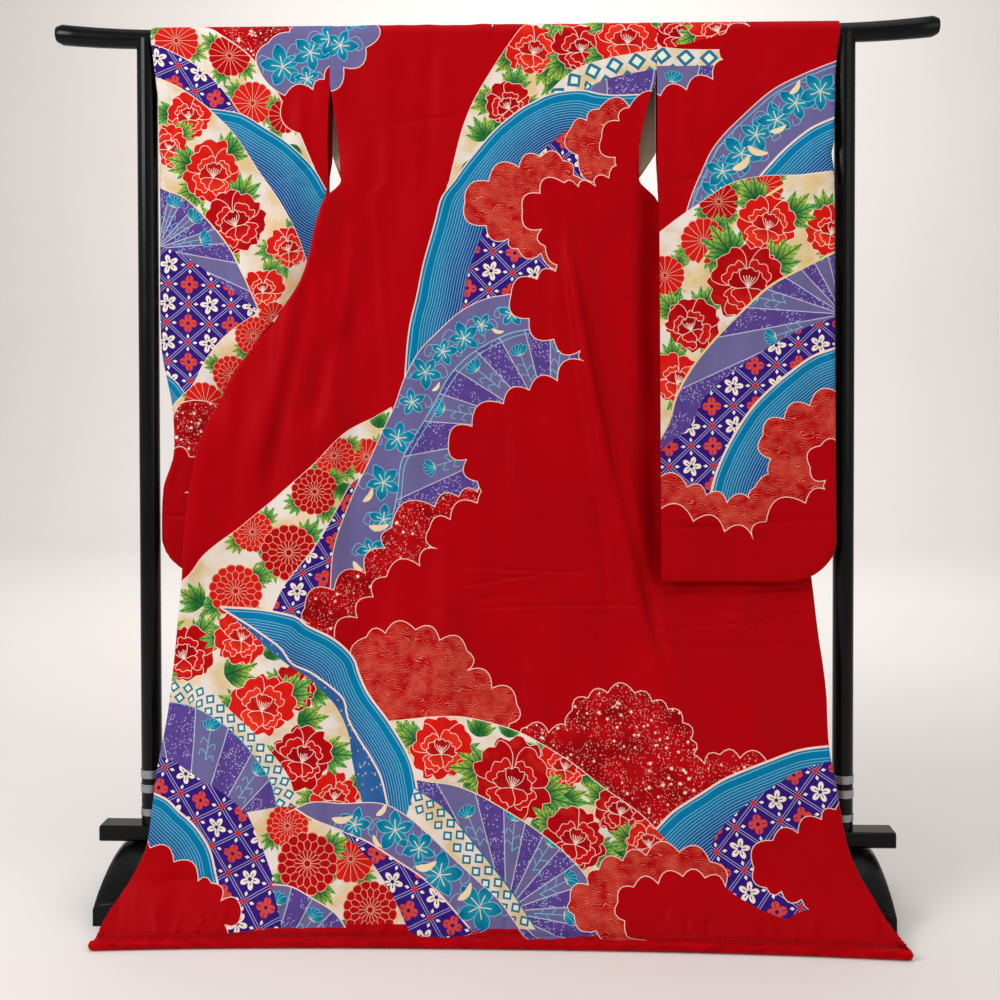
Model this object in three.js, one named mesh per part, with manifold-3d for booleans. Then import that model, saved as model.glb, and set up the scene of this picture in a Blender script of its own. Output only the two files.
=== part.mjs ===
// Bridal furisode hung over a black lacquered kimono stand, its back turned to -Y.
// Millimetres, +X along the bar, +Z up. The origin is on the floor under the middle of the whole.
// Depths (y) are worked out from the plane of the posts, and the group is moved to the origin at the end.

import * as THREE from 'three';
import Module from 'manifold-3d';
import { mergeVertices } from 'three/addons/utils/BufferGeometryUtils.js';

const wasm = await Module();
wasm.setup();

// ---------- Driving sizes ----------

const SEAM_GAP = 0.3;
const CLOTH = 2.0;
const COLLAR_CLOTH = 3.0;

const BAR = { z: 1680, radius: 18.5, half: 859, straight: 640, rise: 12, flare: 2.0, sides: 16 };
const POST = { x: 680, radius: 20, sides: 20 };
const RAIL = { half: 778, depth: 54, low: 103, high: 134, edge: 4 };
const FOOT = { width: 118, half: 182, end: 42, crown: 102.4, shoulder: 12 };
const BANDS = [{ low: 226, high: 242 }, { low: 198, high: 214 }, { low: 152, high: 166 }];
const BAND_WALL = 1.0;

const SADDLE = BAR.radius + 2.5 + CLOTH;
const SADDLE_STEPS = 6;
const SHOULDER = 1590;
const SLIT_END = 1400;
const SLEEVE_SEAM = 316;
const NECK = { half: 88, rise: 26 };

const WIDTH = { back: 305, front: 565, whole: 725 };
const OVERLAP_TOP = 1040;
const OVERLAP_FULL = 680;
const FOLD_RADIUS = 6.5;
const COLLAR_WIDTH = 58;
const HEM = { radius: 9, lift: 0.5, sides: 8, steps: 44 };
const CORNER_REACH = 26;
const DEPTH_CENTRE = -56;

// Height and depth of the back panel from the bar to the hem, how far it spreads to each side of
// the centre back seam, and how far from that seam the open front edge hangs behind it.
const HANG = [
  { z: 1680, y: -SADDLE, left: 316, right: 316, open: 88 },
  { z: 1635, y: -23, left: 316, right: 316, open: 88 },
  { z: 1590, y: -23, left: 316, right: 314, open: 88 },
  { z: 1545, y: -24, left: 310, right: 300, open: 86 },
  { z: 1500, y: -24, left: 304, right: 290, open: 85 },
  { z: 1450, y: -25, left: 298, right: 282, open: 86 },
  { z: 1400, y: -26, left: 295, right: 282, open: 92 },
  { z: 1360, y: -27, left: 326, right: 316, open: 102 },
  { z: 1310, y: -28, left: 341, right: 340, open: 118 },
  { z: 1250, y: -29, left: 354, right: 370, open: 146 },
  { z: 1185, y: -30, left: 382, right: 408, open: 192 },
  { z: 1115, y: -31, left: 432, right: 450, open: 264 },
  { z: 1050, y: -32, left: 484, right: 490, open: 344 },
  { z: 980, y: -33, left: 526, right: 528, open: 420 },
  { z: 910, y: -34, left: 564, right: 558, open: 468 },
  { z: 820, y: -35, left: 584, right: 584, open: 490 },
  { z: 730, y: -37, left: 597, right: 604, open: 492 },
  { z: 640, y: -40, left: 603, right: 614, open: 492 },
  { z: 560, y: -50, left: 611, right: 620, open: 496 },
  { z: 480, y: -64, left: 618, right: 626, open: 504 },
  { z: 400, y: -84, left: 624, right: 630, open: 512 },
  { z: 325, y: -106, left: 633, right: 629, open: 522 },
  { z: 255, y: -128, left: 641, right: 636, open: 536 },
  { z: 190, y: -146, left: 647, right: 642, open: 556 },
  { z: 138, y: -160, left: 655, right: 654, open: 586 },
  { z: 98, y: -174, left: 674, right: 669, open: 622 },
  { z: 66, y: -188, left: 695, right: 688, open: 656 },
  { z: 40, y: -202, left: 711, right: 702, open: 682 },
  { z: 19, y: -216, left: 720, right: 717, open: 704 },
  { z: 9, y: -232, left: 724, right: 724, open: 720 },
  { z: 9, y: -250, left: 725, right: 725, open: 725 },
];

// Upper rows of the far layer, level with the near rows: its depth where the sleeve is sewn on, and
// its depth nearer the neck.
const FAR_EDGE = [
  { z: 1680, seam: SADDLE, neck: 23 },
  { z: 1635, seam: 22, neck: 23 },
  { z: 1590, seam: 20, neck: 23 },
  { z: 1545, seam: 17, neck: 22 },
  { z: 1500, seam: 13, neck: 21 },
  { z: 1450, seam: 6, neck: 19 },
  { z: 1400, seam: -13, neck: 17 },
  { z: 1250, seam: -16, neck: 12 },
  { z: 1050, seam: -18, neck: 8 },
];

// The sleeves: x of the edge beside the body and of the cuff edge, and depths of both layers.
const SLEEVE_LEFT = [
  { z: 1680, body: 316, cuff: 666, near: -23, far: 23 },
  { z: 1635, body: 316, cuff: 661, near: -23, far: 22 },
  { z: 1590, body: 316, cuff: 656, near: -22, far: 20 },
  { z: 1545, body: 319, cuff: 652, near: -21, far: 17 },
  { z: 1500, body: 321, cuff: 652, near: -19, far: 13 },
  { z: 1450, body: 322, cuff: 652, near: -16, far: 8 },
  { z: 1400, body: 322, cuff: 652, near: -11, far: 8 },
  { z: 1340, body: 322, cuff: 652, near: -8, far: 8 },
  { z: 1080, body: 322, cuff: 651, near: -7, far: 9 },
  { z: 960, body: 322, cuff: 631, near: -7, far: 9 },
  { z: 880, body: 322, cuff: 627, near: -7, far: 9 },
  { z: 790, body: 322, cuff: 650, near: -7, far: 9 },
  { z: 620, body: 322, cuff: 652, near: -6, far: 10 },
];
const SLEEVE_RIGHT = [
  { z: 1680, body: 316, cuff: 666, near: -23, far: 23 },
  { z: 1635, body: 316, cuff: 660, near: -24, far: 22 },
  { z: 1590, body: 316, cuff: 656, near: -26, far: 20 },
  { z: 1545, body: 316, cuff: 655, near: -29, far: 17 },
  { z: 1500, body: 316, cuff: 653, near: -33, far: 13 },
  { z: 1450, body: 316, cuff: 651, near: -38, far: 6 },
  { z: 1400, body: 317, cuff: 650, near: -44, far: -12 },
  { z: 1340, body: 318, cuff: 649, near: -49, far: -30 },
  { z: 1250, body: 319, cuff: 649, near: -51, far: -35 },
  { z: 900, body: 321, cuff: 652, near: -51, far: -35 },
  { z: 620, body: 323, cuff: 654, near: -52, far: -36 },
];
const SLEEVE = { bottom: 622, cornerWide: 100, cornerHigh: 82, cuffOpen: 1450, columns: 7 };

// Soft folds of the skirt: the line that each follows down the cloth, its half width, and how far
// it stands out (+) or sinks in (-).
const FOLDS = [
  { top: [142, 1290], middle: [206, 960], low: [300, 590], half: 38, out: 9 },
  { top: [300, 590], middle: [330, 470], low: [388, 215], half: 42, out: 9 },
  { top: [190, 1230], middle: [252, 960], low: [345, 600], half: 34, out: -5 },
  { top: [206, 515], middle: [262, 350], low: [322, 190], half: 30, out: -8 },
  { top: [-322, 1380], middle: [-384, 1160], low: [-462, 850], half: 32, out: 7 },
  { top: [-300, 1100], middle: [-330, 1010], low: [-356, 930], half: 28, out: -6 },
  { top: [-545, 930], middle: [-570, 780], low: [-592, 640], half: 26, out: 5 },
  { top: [-262, 1470], middle: [-266, 1320], low: [-272, 1160], half: 26, out: 5 },
  { top: [-90, 620], middle: [-100, 420], low: [-120, 230], half: 34, out: 6 },
  { top: [-420, 560], middle: [-430, 380], low: [-470, 190], half: 48, out: 7 },
  { top: [-250, 560], middle: [-260, 380], low: [-250, 190], half: 44, out: -6 },
  { top: [480, 600], middle: [500, 400], low: [520, 200], half: 46, out: 6 },
  { top: [90, 560], middle: [96, 380], low: [110, 190], half: 46, out: 5 },
];

const MATERIALS = {
  silk: { color: 0xb00014, roughness: 0.55, metalness: 0 },
  print: { color: 0xa82f45, roughness: 0.5, metalness: 0 },
  lacquer: { color: 0x0a0a0c, roughness: 0.15, metalness: 0 },
  silver: { color: 0x8c8f94, roughness: 0.35, metalness: 0.9 },
};

// ---------- Small helpers ----------

const lerp = THREE.MathUtils.lerp;
const smooth = (x) => THREE.MathUtils.smoothstep(x, 0, 1);

// A column of a table as a smooth function of the table's first column (rising or falling).
function column(table, name, key = 'z') {
  const rows = [...table].sort((a, b) => a[key] - b[key]);
  const slopes = rows.map((row, i) => {
    const before = rows[Math.max(i - 1, 0)];
    const after = rows[Math.min(i + 1, rows.length - 1)];
    const left = (row[name] - before[name]) * (after[name] - row[name]);
    return left <= 0 ? 0 : (after[name] - before[name]) / (after[key] - before[key]);
  });
  return (at) => {
    let i = rows.findIndex((row) => row[key] > at) - 1;
    if (i === -2) i = rows.length - 2;
    i = Math.max(i, 0);
    const span = rows[i + 1][key] - rows[i][key];
    const t = THREE.MathUtils.clamp((at - rows[i][key]) / span, 0, 1);
    const bend = 2 * t ** 3 - 3 * t ** 2;
    return (1 + bend) * rows[i][name] + span * (t ** 3 - 2 * t ** 2 + t) * slopes[i]
      - bend * rows[i + 1][name] + span * (t ** 3 - t ** 2) * slopes[i + 1];
  };
}

function meshOf(name, geometry, material) {
  const mesh = new THREE.Mesh(geometry, new THREE.MeshStandardMaterial(MATERIALS[material]));
  mesh.name = name;
  return mesh;
}

function geometryOf(points, triangles) {
  const geometry = new THREE.BufferGeometry();
  geometry.setAttribute('position', new THREE.Float32BufferAttribute(points.flatMap((p) => p.toArray()), 3));
  geometry.setIndex(triangles.flat());
  return geometry;
}

// A closed wall from the outer face of a cloth: its points, each with the way inwards, and its quads.
function wall(points, inward, quads, thickness) {
  const count = points.length;
  const all = [...points, ...points.map((p, i) => p.clone().addScaledVector(inward[i], thickness))];
  const triangles = [];
  const open = new Map();
  for (const quad of quads) {
    const [a, b, c, d] = quad;
    triangles.push([a, b, c], [a, c, d], [a + count, c + count, b + count], [a + count, d + count, c + count]);
    quad.forEach((from, i) => {
      const to = quad[(i + 1) % 4];
      if (!open.delete(`${to} ${from}`)) open.set(`${from} ${to}`, [from, to]);
    });
  }
  // The edge faces of two pieces sewn together split the same way, so that the seam gap stays even.
  for (const [from, to] of open.values()) {
    if (points[from].z > points[to].z) {
      triangles.push([to, from, to + count], [from, from + count, to + count]);
    } else {
      triangles.push([to, from, from + count], [to, from + count, to + count]);
    }
  }
  return geometryOf(all, triangles);
}

// Quads of a grid whose rows each hold the same number of points.
function gridQuads(rows, columns, flip) {
  const quads = [];
  for (let r = 0; r + 1 < rows; r++) {
    for (let c = 0; c + 1 < columns; c++) {
      const a = r * columns + c;
      quads.push(flip ? [a, a + columns, a + columns + 1, a + 1] : [a, a + 1, a + columns + 1, a + columns]);
    }
  }
  return quads;
}

// The way inwards at a point of a surface that is a function of two numbers.
function inwardAt(surface, u, v, step, sign) {
  const along = surface(u + step, v).sub(surface(u - step, v));
  const down = surface(u, v + step).sub(surface(u, v - step));
  return along.cross(down).normalize().multiplyScalar(sign);
}

// ---------- The body's drape ----------

// Rows are numbered down the table from the bar to the hem, so both the hang and the floor are one path.
const ROWS = HANG.map((row, i) => ({ ...row, row: i }));
const at = Object.fromEntries(['z', 'y', 'left', 'right', 'open'].map((name) => [name, column(ROWS, name, 'row')]));
const farSeam = column(FAR_EDGE, 'seam');
const farNeck = column(FAR_EDGE, 'neck');
const SLIT_ROW = ROWS.findIndex((row) => row.z === SLIT_END);
const SHOULDER_ROW = ROWS.findIndex((row) => row.z === SHOULDER);
const LAST_ROW = ROWS.length - 1;

function foldDepth(x, z) {
  let depth = 2.2 * Math.sin(x / 43 + z / 900) * smooth((1640 - z) / 500);
  for (const fold of FOLDS) {
    const t = (fold.top[1] - z) / (fold.top[1] - fold.low[1]);
    if (t < -0.2 || t > 1.2) continue;
    const s = THREE.MathUtils.clamp(t, 0, 1);
    const line = (1 - s) ** 2 * fold.top[0] + 2 * s * (1 - s) * fold.middle[0] + s * s * fold.low[0];
    const across = Math.exp(-(((x - line) / fold.half) ** 2));
    const ends = smooth((t + 0.2) / 0.4) * smooth((1.2 - t) / 0.4);
    depth -= fold.out * across * ends;
  }
  return depth;
}

// The near layer leans out in front of the left sleeve and back behind the right one.
function nearDepth(side, x, row) {
  const z = at.z(row);
  const beside = smooth((Math.abs(x) - 262) / 56) * smooth((SLIT_END + 30 - z) / 90);
  const hang = side < 0 ? -16 * smooth((z - 520) / 200) : 20 * smooth((z - 450) / 240);
  const calm = smooth((z - 5) / 60);
  const corner = -CORNER_REACH * (Math.abs(x) / WIDTH.whole) ** 2.5 * smooth((90 - z) / 80);
  return at.y(row) + beside * hang + foldDepth(x, z) * calm + corner;
}

function farDepth(side, x, row) {
  const z = at.z(row);
  const edge = row <= SLIT_ROW - 1 ? farSeam(z) : nearDepth(side, x, row) + 2 * FOLD_RADIUS;
  const inner = row <= SLIT_ROW - 1 ? farNeck(z) : Math.max(farNeck(Math.max(z, 1050)), edge);
  const low = smooth((z - 560) / 300);
  return lerp(edge, inner, smooth((320 - Math.abs(x)) / 140) * low);
}

// Cloth that lies over a foot is lifted clear of it.
function footLift(x, y) {
  const ahead = -y - FOOT.half;
  const front = ahead < 0 ? 1 : smooth(1 - (ahead - 6) / 56);
  return (FOOT.end + 6) * front * smooth((Math.abs(x) - 540) / 80);
}

// The centre back seam drifts to the right on its way down.
function middleShift(row) {
  return 14 * smooth((row - 16) / 14);
}

// Point of the body at a distance s across the cloth from the centre back seam, on side -1 or +1.
function bodyPoint(side, s, row) {
  const visible = side < 0 ? at.left(row) : at.right(row);
  const whole = clothWidth(row);
  const open = at.open(row);
  const centre = middleShift(row);
  let x;
  let y;
  let under = 0;
  if (row < SLIT_ROW - 0.5) {
    if (s <= WIDTH.back + 0.01) {
      x = side * s * (visible / WIDTH.back);
      y = nearDepth(side, x, row);
    } else {
      const across = (s - WIDTH.back) / (whole - WIDTH.back);
      x = side * lerp(SLEEVE_SEAM, open, across);
      y = farDepth(side, x, row);
    }
  } else {
    const ease = smooth((row - SLIT_ROW) / 3);
    const squeeze = lerp(visible / WIDTH.back, 1, ease);
    const fold = Math.min(visible / squeeze, whole);
    const radius = whole - fold > 9 ? FOLD_RADIUS : 0;
    const half = (Math.PI / 2) * radius;
    if (s <= fold - half || radius === 0) {
      x = side * s * ((visible - radius) / Math.max(fold - half, 1));
      if (radius === 0) x = side * s * (visible / whole);
      y = nearDepth(side, x, row);
    } else if (s < fold + half) {
      const angle = ((s - fold) / (2 * half) + 0.5) * Math.PI;
      x = side * (visible - radius + radius * Math.sin(angle));
      y = nearDepth(side, side * (visible - radius), row);
      under = radius * (1 - Math.cos(angle));
    } else {
      x = side * lerp(visible - radius, open, (s - fold - half) / Math.max(whole - fold - half, 1));
      y = nearDepth(side, x, row);
      const behind = farDepth(side, x, row) - y;
      under = Math.max(behind, 2 * radius);
    }
  }
  // The layer behind lies along the inward normal of the hang, so on the floor it lies underneath.
  const lean = Math.atan2(at.y(row - 0.5) - at.y(row + 0.5), at.z(row - 0.5) - at.z(row + 0.5));
  const z = Math.max(at.z(row), footLift(x, y));
  return new THREE.Vector3(x + centre, y + under * Math.cos(lean), z - under * Math.sin(lean) * 0.8);
}

// Width of cloth from the centre back seam to the open edge: the front alone at the top, with the
// overlap further down.
function clothWidth(row) {
  const z = at.z(row);
  const front = lerp(WIDTH.front - 32, WIDTH.front, smooth((SHOULDER - z) / (SHOULDER - OVERLAP_TOP)));
  return front + (WIDTH.whole - WIDTH.front) * THREE.MathUtils.clamp((OVERLAP_TOP + 30 - z)
    / (OVERLAP_TOP + 30 - OVERLAP_FULL), 0, 1);
}

// Columns across a panel, closer together where the cloth turns back on itself.
function columnsAcross(side, from, to, row, count) {
  const visible = side < 0 ? at.left(row) : at.right(row);
  const fold = row < SLIT_ROW - 0.5 ? -1 : visible;
  const samples = 240;
  const mass = [0];
  for (let i = 0; i < samples; i++) {
    const s = lerp(from, to, (i + 0.5) / samples);
    const close = Math.exp(-(((s - fold) / 11) ** 4));
    mass.push(mass[i] + (1 / 30 + 0.24 * close) * ((to - from) / samples));
  }
  const columns = [from];
  for (let c = 1; c < count; c++) {
    const wanted = (mass[samples] * c) / count;
    const i = mass.findIndex((m) => m >= wanted);
    const part = (wanted - mass[i - 1]) / (mass[i] - mass[i - 1]);
    columns.push(lerp(from, to, (i - 1 + part) / samples));
  }
  return [...columns, to];
}

function bodyPanel(name, side, rows, edges, count) {
  const points = [];
  const inward = [];
  const surface = (s, row) => bodyPoint(side, s, row);
  for (const row of rows) {
    const { from, to } = edges(row);
    for (const s of columnsAcross(side, from, to, row, count)) {
      points.push(surface(s, row));
      const inside = Math.min(Math.max(row, 0.02), LAST_ROW - 0.02);
      const steady = row < SLIT_ROW ? Math.min(Math.max(s, from + 0.6), to - 0.6) : s;
      inward.push(inwardAt(surface, steady, inside, 0.01, side));
    }
  }
  return { name, side, points, inward, columns: count + 1 };
}

function panelMesh(panel, material) {
  const rows = panel.points.length / panel.columns;
  const quads = gridQuads(rows, panel.columns, panel.side > 0);
  return meshOf(panel.name, wall(panel.points, panel.inward, quads, CLOTH), material);
}

// The back runs on over the bar to the shoulder line behind it, with the curve of the neck cut out.
function backPanel(side) {
  const count = 10;
  const rows = ROWS.map((row) => row.row);
  const half = SEAM_GAP / 2;
  const panel = bodyPanel(side < 0 ? 'back_left' : 'back_right', side, rows,
    () => ({ from: half, to: WIDTH.back - half }), count);
  const over = [];
  const overInward = [];
  const xs = panel.points.slice(0, panel.columns).map((p) => p.x);
  for (const x of xs) {
    const neck = NECK.rise * Math.sqrt(Math.max(0, 1 - (x / NECK.half) ** 2));
    const end = SHOULDER + neck;
    const column = [];
    for (let i = 0; i <= 2; i++) {
      const z = lerp(end, BAR.z, i / 3);
      column.push([new THREE.Vector3(x, SADDLE, z), new THREE.Vector3(0, -1, 0)]);
    }
    for (let i = 0; i < SADDLE_STEPS; i++) {
      const angle = (Math.PI * i) / SADDLE_STEPS;
      const out = new THREE.Vector3(0, Math.cos(angle), Math.sin(angle));
      column.push([new THREE.Vector3(x, 0, BAR.z).addScaledVector(out, SADDLE), out.negate()]);
    }
    over.push(column);
  }
  for (let r = 0; r < over[0].length; r++) {
    for (const column of over) {
      overInward.push(column[r][1]);
      column[r] = column[r][0];
    }
  }
  const upper = [];
  for (let r = 0; r < over[0].length; r++) upper.push(...over.map((column) => column[r]));
  panel.points = [...upper, ...panel.points];
  panel.inward = [...overInward, ...panel.inward];
  return panelMesh(panel, 'print');
}

function frontPanel(side) {
  const rows = ROWS.map((row) => row.row).filter((row) => row >= SHOULDER_ROW);
  const half = SEAM_GAP / 2;
  const edges = (row) => ({
    from: WIDTH.back + half,
    to: Math.min(clothWidth(row), WIDTH.front) - half,
  });
  const panel = bodyPanel(side < 0 ? 'front_left' : 'front_right', side, rows, edges, 11);
  panel.points.slice(0, panel.columns).forEach((point) => {
    point.z -= SEAM_GAP;
  });
  return panelMesh(panel, 'print');
}

function overlapPanel(side) {
  const first = ROWS.findIndex((row) => row.z < OVERLAP_TOP);
  const rows = ROWS.map((row) => row.row).filter((row) => row >= first);
  const half = SEAM_GAP / 2;
  const edges = (row) => ({ from: WIDTH.front + half, to: clothWidth(row) - half });
  return panelMesh(bodyPanel(side < 0 ? 'overlap_left' : 'overlap_right', side, rows, edges, 8), 'print');
}

// ---------- Collar ----------

// A flat band beside the open edges of the fronts, which meets in a curve under the back of the neck.
function collar() {
  const stations = [];
  const end = ROWS.findIndex((row) => row.z < OVERLAP_FULL + 20);
  const edgeAt = (side, row) => bodyPoint(side, clothWidth(row), row);
  const sideStations = (side) => ROWS.slice(SHOULDER_ROW, end + 1).map(({ row }) => {
    const run = edgeAt(side, row + 0.5).sub(edgeAt(side, Math.max(row - 0.5, SHOULDER_ROW))).setY(0).normalize();
    if (row === SHOULDER_ROW) run.set(0, 0, -1);
    const depth = (x) => Math.max(farDepth(side, x, row), row < SLIT_ROW ? -1e3 : nearDepth(side, x, row) + 2 * FOLD_RADIUS);
    return { edge: edgeAt(side, row), across: new THREE.Vector3(side * run.z, 0, -side * run.x), depth };
  });
  const left = sideStations(-1);
  const right = sideStations(1);
  stations.push(...left.reverse());
  const turns = 7;
  for (let i = 1; i < turns; i++) {
    const angle = Math.PI * (1 - i / turns);
    const edge = new THREE.Vector3(NECK.half * Math.cos(angle), SADDLE, SHOULDER + NECK.rise * Math.sin(angle));
    stations.push({ edge, across: new THREE.Vector3(-Math.cos(angle), 0, -Math.sin(angle)), depth: () => SADDLE });
  }
  stations.push(...right);
  const points = [];
  const inward = [];
  for (const { edge, across, depth } of stations) {
    for (const width of [SEAM_GAP, COLLAR_WIDTH / 2, COLLAR_WIDTH]) {
      const point = edge.clone().addScaledVector(across, width);
      point.y = depth(point.x) + 2 * SEAM_GAP + COLLAR_CLOTH;
      points.push(point);
      inward.push(new THREE.Vector3(0, -1, 0));
    }
  }
  const quads = gridQuads(stations.length, 3, true);
  return meshOf('collar', wall(points, inward, quads, COLLAR_CLOTH), 'silk');
}

// ---------- Sleeves ----------

// A bag folded over the bar: near layer, saddle, far layer and a rounded turn at the bottom, with
// the cuff edge closed below the wrist opening. It stays open towards the body.
function sleeve(side) {
  const table = side < 0 ? SLEEVE_LEFT : SLEEVE_RIGHT;
  const of = Object.fromEntries(['body', 'cuff', 'near', 'far'].map((name) => [name, column(table, name)]));
  const count = SLEEVE.columns;
  const upperRows = ROWS.slice(0, SLIT_ROW + 1).map((row) => row.z);
  const lowerSteps = 12;

  const bottomAt = (a) => {
    const fromCuff = (1 - a) * (of.cuff(700) - of.body(700));
    const u = THREE.MathUtils.clamp(1 - fromCuff / SLEEVE.cornerWide, 0, 1);
    return SLEEVE.bottom + FOLD_RADIUS + SLEEVE.cornerHigh * (1 - Math.sqrt(1 - u * u * 0.985));
  };
  const xAt = (a, z) => side * (lerp(of.body(z), of.cuff(z), a) + (a === 0 ? SEAM_GAP : 0));
  const farXAt = (a, z) => side * (lerp(lerp(of.body(z), SLEEVE_SEAM, smooth((z - SLIT_END) / 50)), of.cuff(z), a)
    + (a === 0 ? SEAM_GAP : 0));
  const ripple = (x, z) => 1.8 * Math.sin(x / 37 + z / 300) * smooth((1500 - z) / 300);
  const columns = [];
  for (let c = 0; c <= count; c++) {
    const a = 1 - (1 - c / count) ** 1.15;
    const low = bottomAt(a);
    const heights = [];
    for (let i = 0; i < lowerSteps; i++) heights.push(lerp(low, SLIT_END, i / lowerSteps));
    heights.push(...[...upperRows].reverse());
    const ring = [];
    for (const z of heights) {
      const x = xAt(a, z);
      ring.push([x, of.near(z) + ripple(x, z), z, 0, 1, 0]);
    }
    ring.pop();
    for (let i = 0; i <= SADDLE_STEPS; i++) {
      const angle = Math.PI * (1 - i / SADDLE_STEPS);
      const out = [Math.cos(angle), Math.sin(angle)];
      ring.push([xAt(a, BAR.z), SADDLE * out[0], BAR.z + SADDLE * out[1], 0, -out[0], -out[1]]);
    }
    for (const z of [...heights].reverse().slice(1)) {
      const x = farXAt(a, z);
      ring.push([x, of.far(z) + ripple(x, z), z, 0, -1, 0]);
    }
    const middle = (of.near(low) + of.far(low)) / 2 + ripple(xAt(a, low), low);
    const dip = a > 0.995 ? [side * FOLD_RADIUS * 0.8, -FOLD_RADIUS * 0.8] : [0, -FOLD_RADIUS];
    ring.push([xAt(a, low) + dip[0], middle, low + dip[1], -side * (a > 0.995 ? 0.7 : 0), 0, a > 0.995 ? 0.7 : 1]);
    columns.push(ring);
  }
  const ringSize = columns[0].length;
  const points = [];
  const inward = [];
  for (const ring of columns) {
    for (const [x, y, z, nx, ny, nz] of ring) {
      points.push(new THREE.Vector3(x, y, z));
      inward.push(new THREE.Vector3(nx, ny, nz));
    }
  }
  const quads = [];
  const face = (quad) => quads.push(side < 0 ? quad : [...quad].reverse());
  for (let c = 0; c < count; c++) {
    for (let j = 0; j < ringSize; j++) {
      const k = (j + 1) % ringSize;
      face([c * ringSize + j, c * ringSize + k, (c + 1) * ringSize + k, (c + 1) * ringSize + j]);
    }
  }
  // The sewn cuff edge, from the bottom turn up to the wrist opening.
  const last = count * ringSize;
  const sewn = columns[count].slice(0, lowerSteps + upperRows.length).filter((p) => p[2] <= SLEEVE.cuffOpen + 1).length;
  const farIndex = (r) => last + ringSize - 2 - r;
  let before = last + ringSize - 1;
  for (let r = 1; r < sewn; r++) {
    const near = points[last + r];
    const far = points[farIndex(r)];
    const bulge = Math.min(FOLD_RADIUS * 0.5, 3);
    points.push(new THREE.Vector3(near.x + side * bulge, (near.y + far.y) / 2, near.z));
    inward.push(new THREE.Vector3(-side, 0, 0));
    const edge = points.length - 1;
    face([last + r, edge, before, last + r - 1]);
    face([edge, farIndex(r), farIndex(r - 1), before]);
    before = edge;
  }
  for (let r = 0; r < sewn; r++) {
    inward[last + r].set(-side * 0.7, 0.7, 0);
    inward[farIndex(r)].set(-side * 0.7, -0.7, 0);
  }
  return meshOf(side < 0 ? 'sleeve_left' : 'sleeve_right', wall(points, inward, quads, CLOTH), 'print');
}

// ---------- Hem roll ----------

// Depth of the hem seam at x: the last row of the panels there.
function hemSeam(x) {
  const side = x < 14 ? -1 : 1;
  const visible = side < 0 ? at.left(LAST_ROW) : at.right(LAST_ROW);
  const s = Math.min(Math.abs(x - 14) * (WIDTH.whole / visible), WIDTH.whole);
  return bodyPoint(side, s, LAST_ROW);
}

function hemRoll() {
  const from = 14 - at.left(LAST_ROW);
  const to = 14 + at.right(LAST_ROW);
  const points = [];
  for (let i = 0; i <= HEM.steps; i++) {
    const x = lerp(from, to, i / HEM.steps);
    const seam = hemSeam(x);
    const end = i === 0 || i === HEM.steps ? 0.7 : 1;
    const radius = HEM.radius * end;
    for (let k = 0; k < HEM.sides; k++) {
      const angle = (2 * Math.PI * (k + 0.5)) / HEM.sides;
      points.push(new THREE.Vector3(x, seam.y - HEM.radius - SEAM_GAP + radius * Math.cos(angle),
        HEM.radius + HEM.lift + radius * Math.sin(angle)));
    }
  }
  const triangles = [];
  for (let i = 0; i < HEM.steps; i++) {
    for (let k = 0; k < HEM.sides; k++) {
      const a = i * HEM.sides + k;
      const b = i * HEM.sides + ((k + 1) % HEM.sides);
      triangles.push([a, b, b + HEM.sides], [a, b + HEM.sides, a + HEM.sides]);
    }
  }
  const end = HEM.steps * HEM.sides;
  for (let k = 1; k + 1 < HEM.sides; k++) {
    triangles.push([0, k + 1, k], [end, end + k, end + k + 1]);
  }
  return meshOf('hem_roll', geometryOf(points, triangles), 'silk');
}

// ---------- Stand ----------

// A closed solid from rings of points in order along an axis, each ring turning the same way.
function loft(rings) {
  const size = rings[0].length;
  const points = rings.flat();
  const triangles = [];
  for (let i = 0; i + 1 < rings.length; i++) {
    for (let k = 0; k < size; k++) {
      const a = i * size + k;
      const b = i * size + ((k + 1) % size);
      triangles.push([a, b, b + size], [a, b + size, a + size]);
    }
  }
  const end = (rings.length - 1) * size;
  for (let k = 1; k + 1 < size; k++) triangles.push([0, k + 1, k], [end, end + k, end + k + 1]);
  return geometryOf(points, triangles);
}

// The bar is straight over the stand, and its ends sweep up and thicken a little.
function barRings(extra) {
  const stations = [-1, -0.985, -0.95, -0.9, -0.85, -0.8, -0.75, 0.75, 0.8, 0.85, 0.9, 0.95, 0.985, 1];
  return stations.map((t, i) => {
    const x = t * BAR.half;
    const past = Math.max(0, Math.abs(x) - BAR.straight) / (BAR.half - BAR.straight);
    const tip = i === 0 || i === stations.length - 1 ? 0.72 : 1;
    const radius = (BAR.radius + BAR.flare * past) * tip + extra;
    const ring = [];
    for (let k = 0; k < BAR.sides; k++) {
      const angle = (2 * Math.PI * k) / BAR.sides;
      ring.push(new THREE.Vector3(x, radius * Math.cos(angle), BAR.z + BAR.rise * past ** 2 + radius * Math.sin(angle)));
    }
    return ring;
  });
}

function solidOf(geometry) {
  geometry.deleteAttribute('normal');
  geometry.deleteAttribute('uv');
  const merged = mergeVertices(geometry, 1e-4);
  return new wasm.Manifold(new wasm.Mesh({
    numProp: 3,
    vertProperties: new Float32Array(merged.attributes.position.array),
    triVerts: new Uint32Array(merged.index.array),
  }));
}

function fromSolid(solid) {
  const cut = solid.getMesh();
  const geometry = new THREE.BufferGeometry();
  geometry.setAttribute('position', new THREE.BufferAttribute(cut.vertProperties, 3));
  geometry.setIndex(new THREE.BufferAttribute(cut.triVerts, 1));
  return geometry;
}

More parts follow.
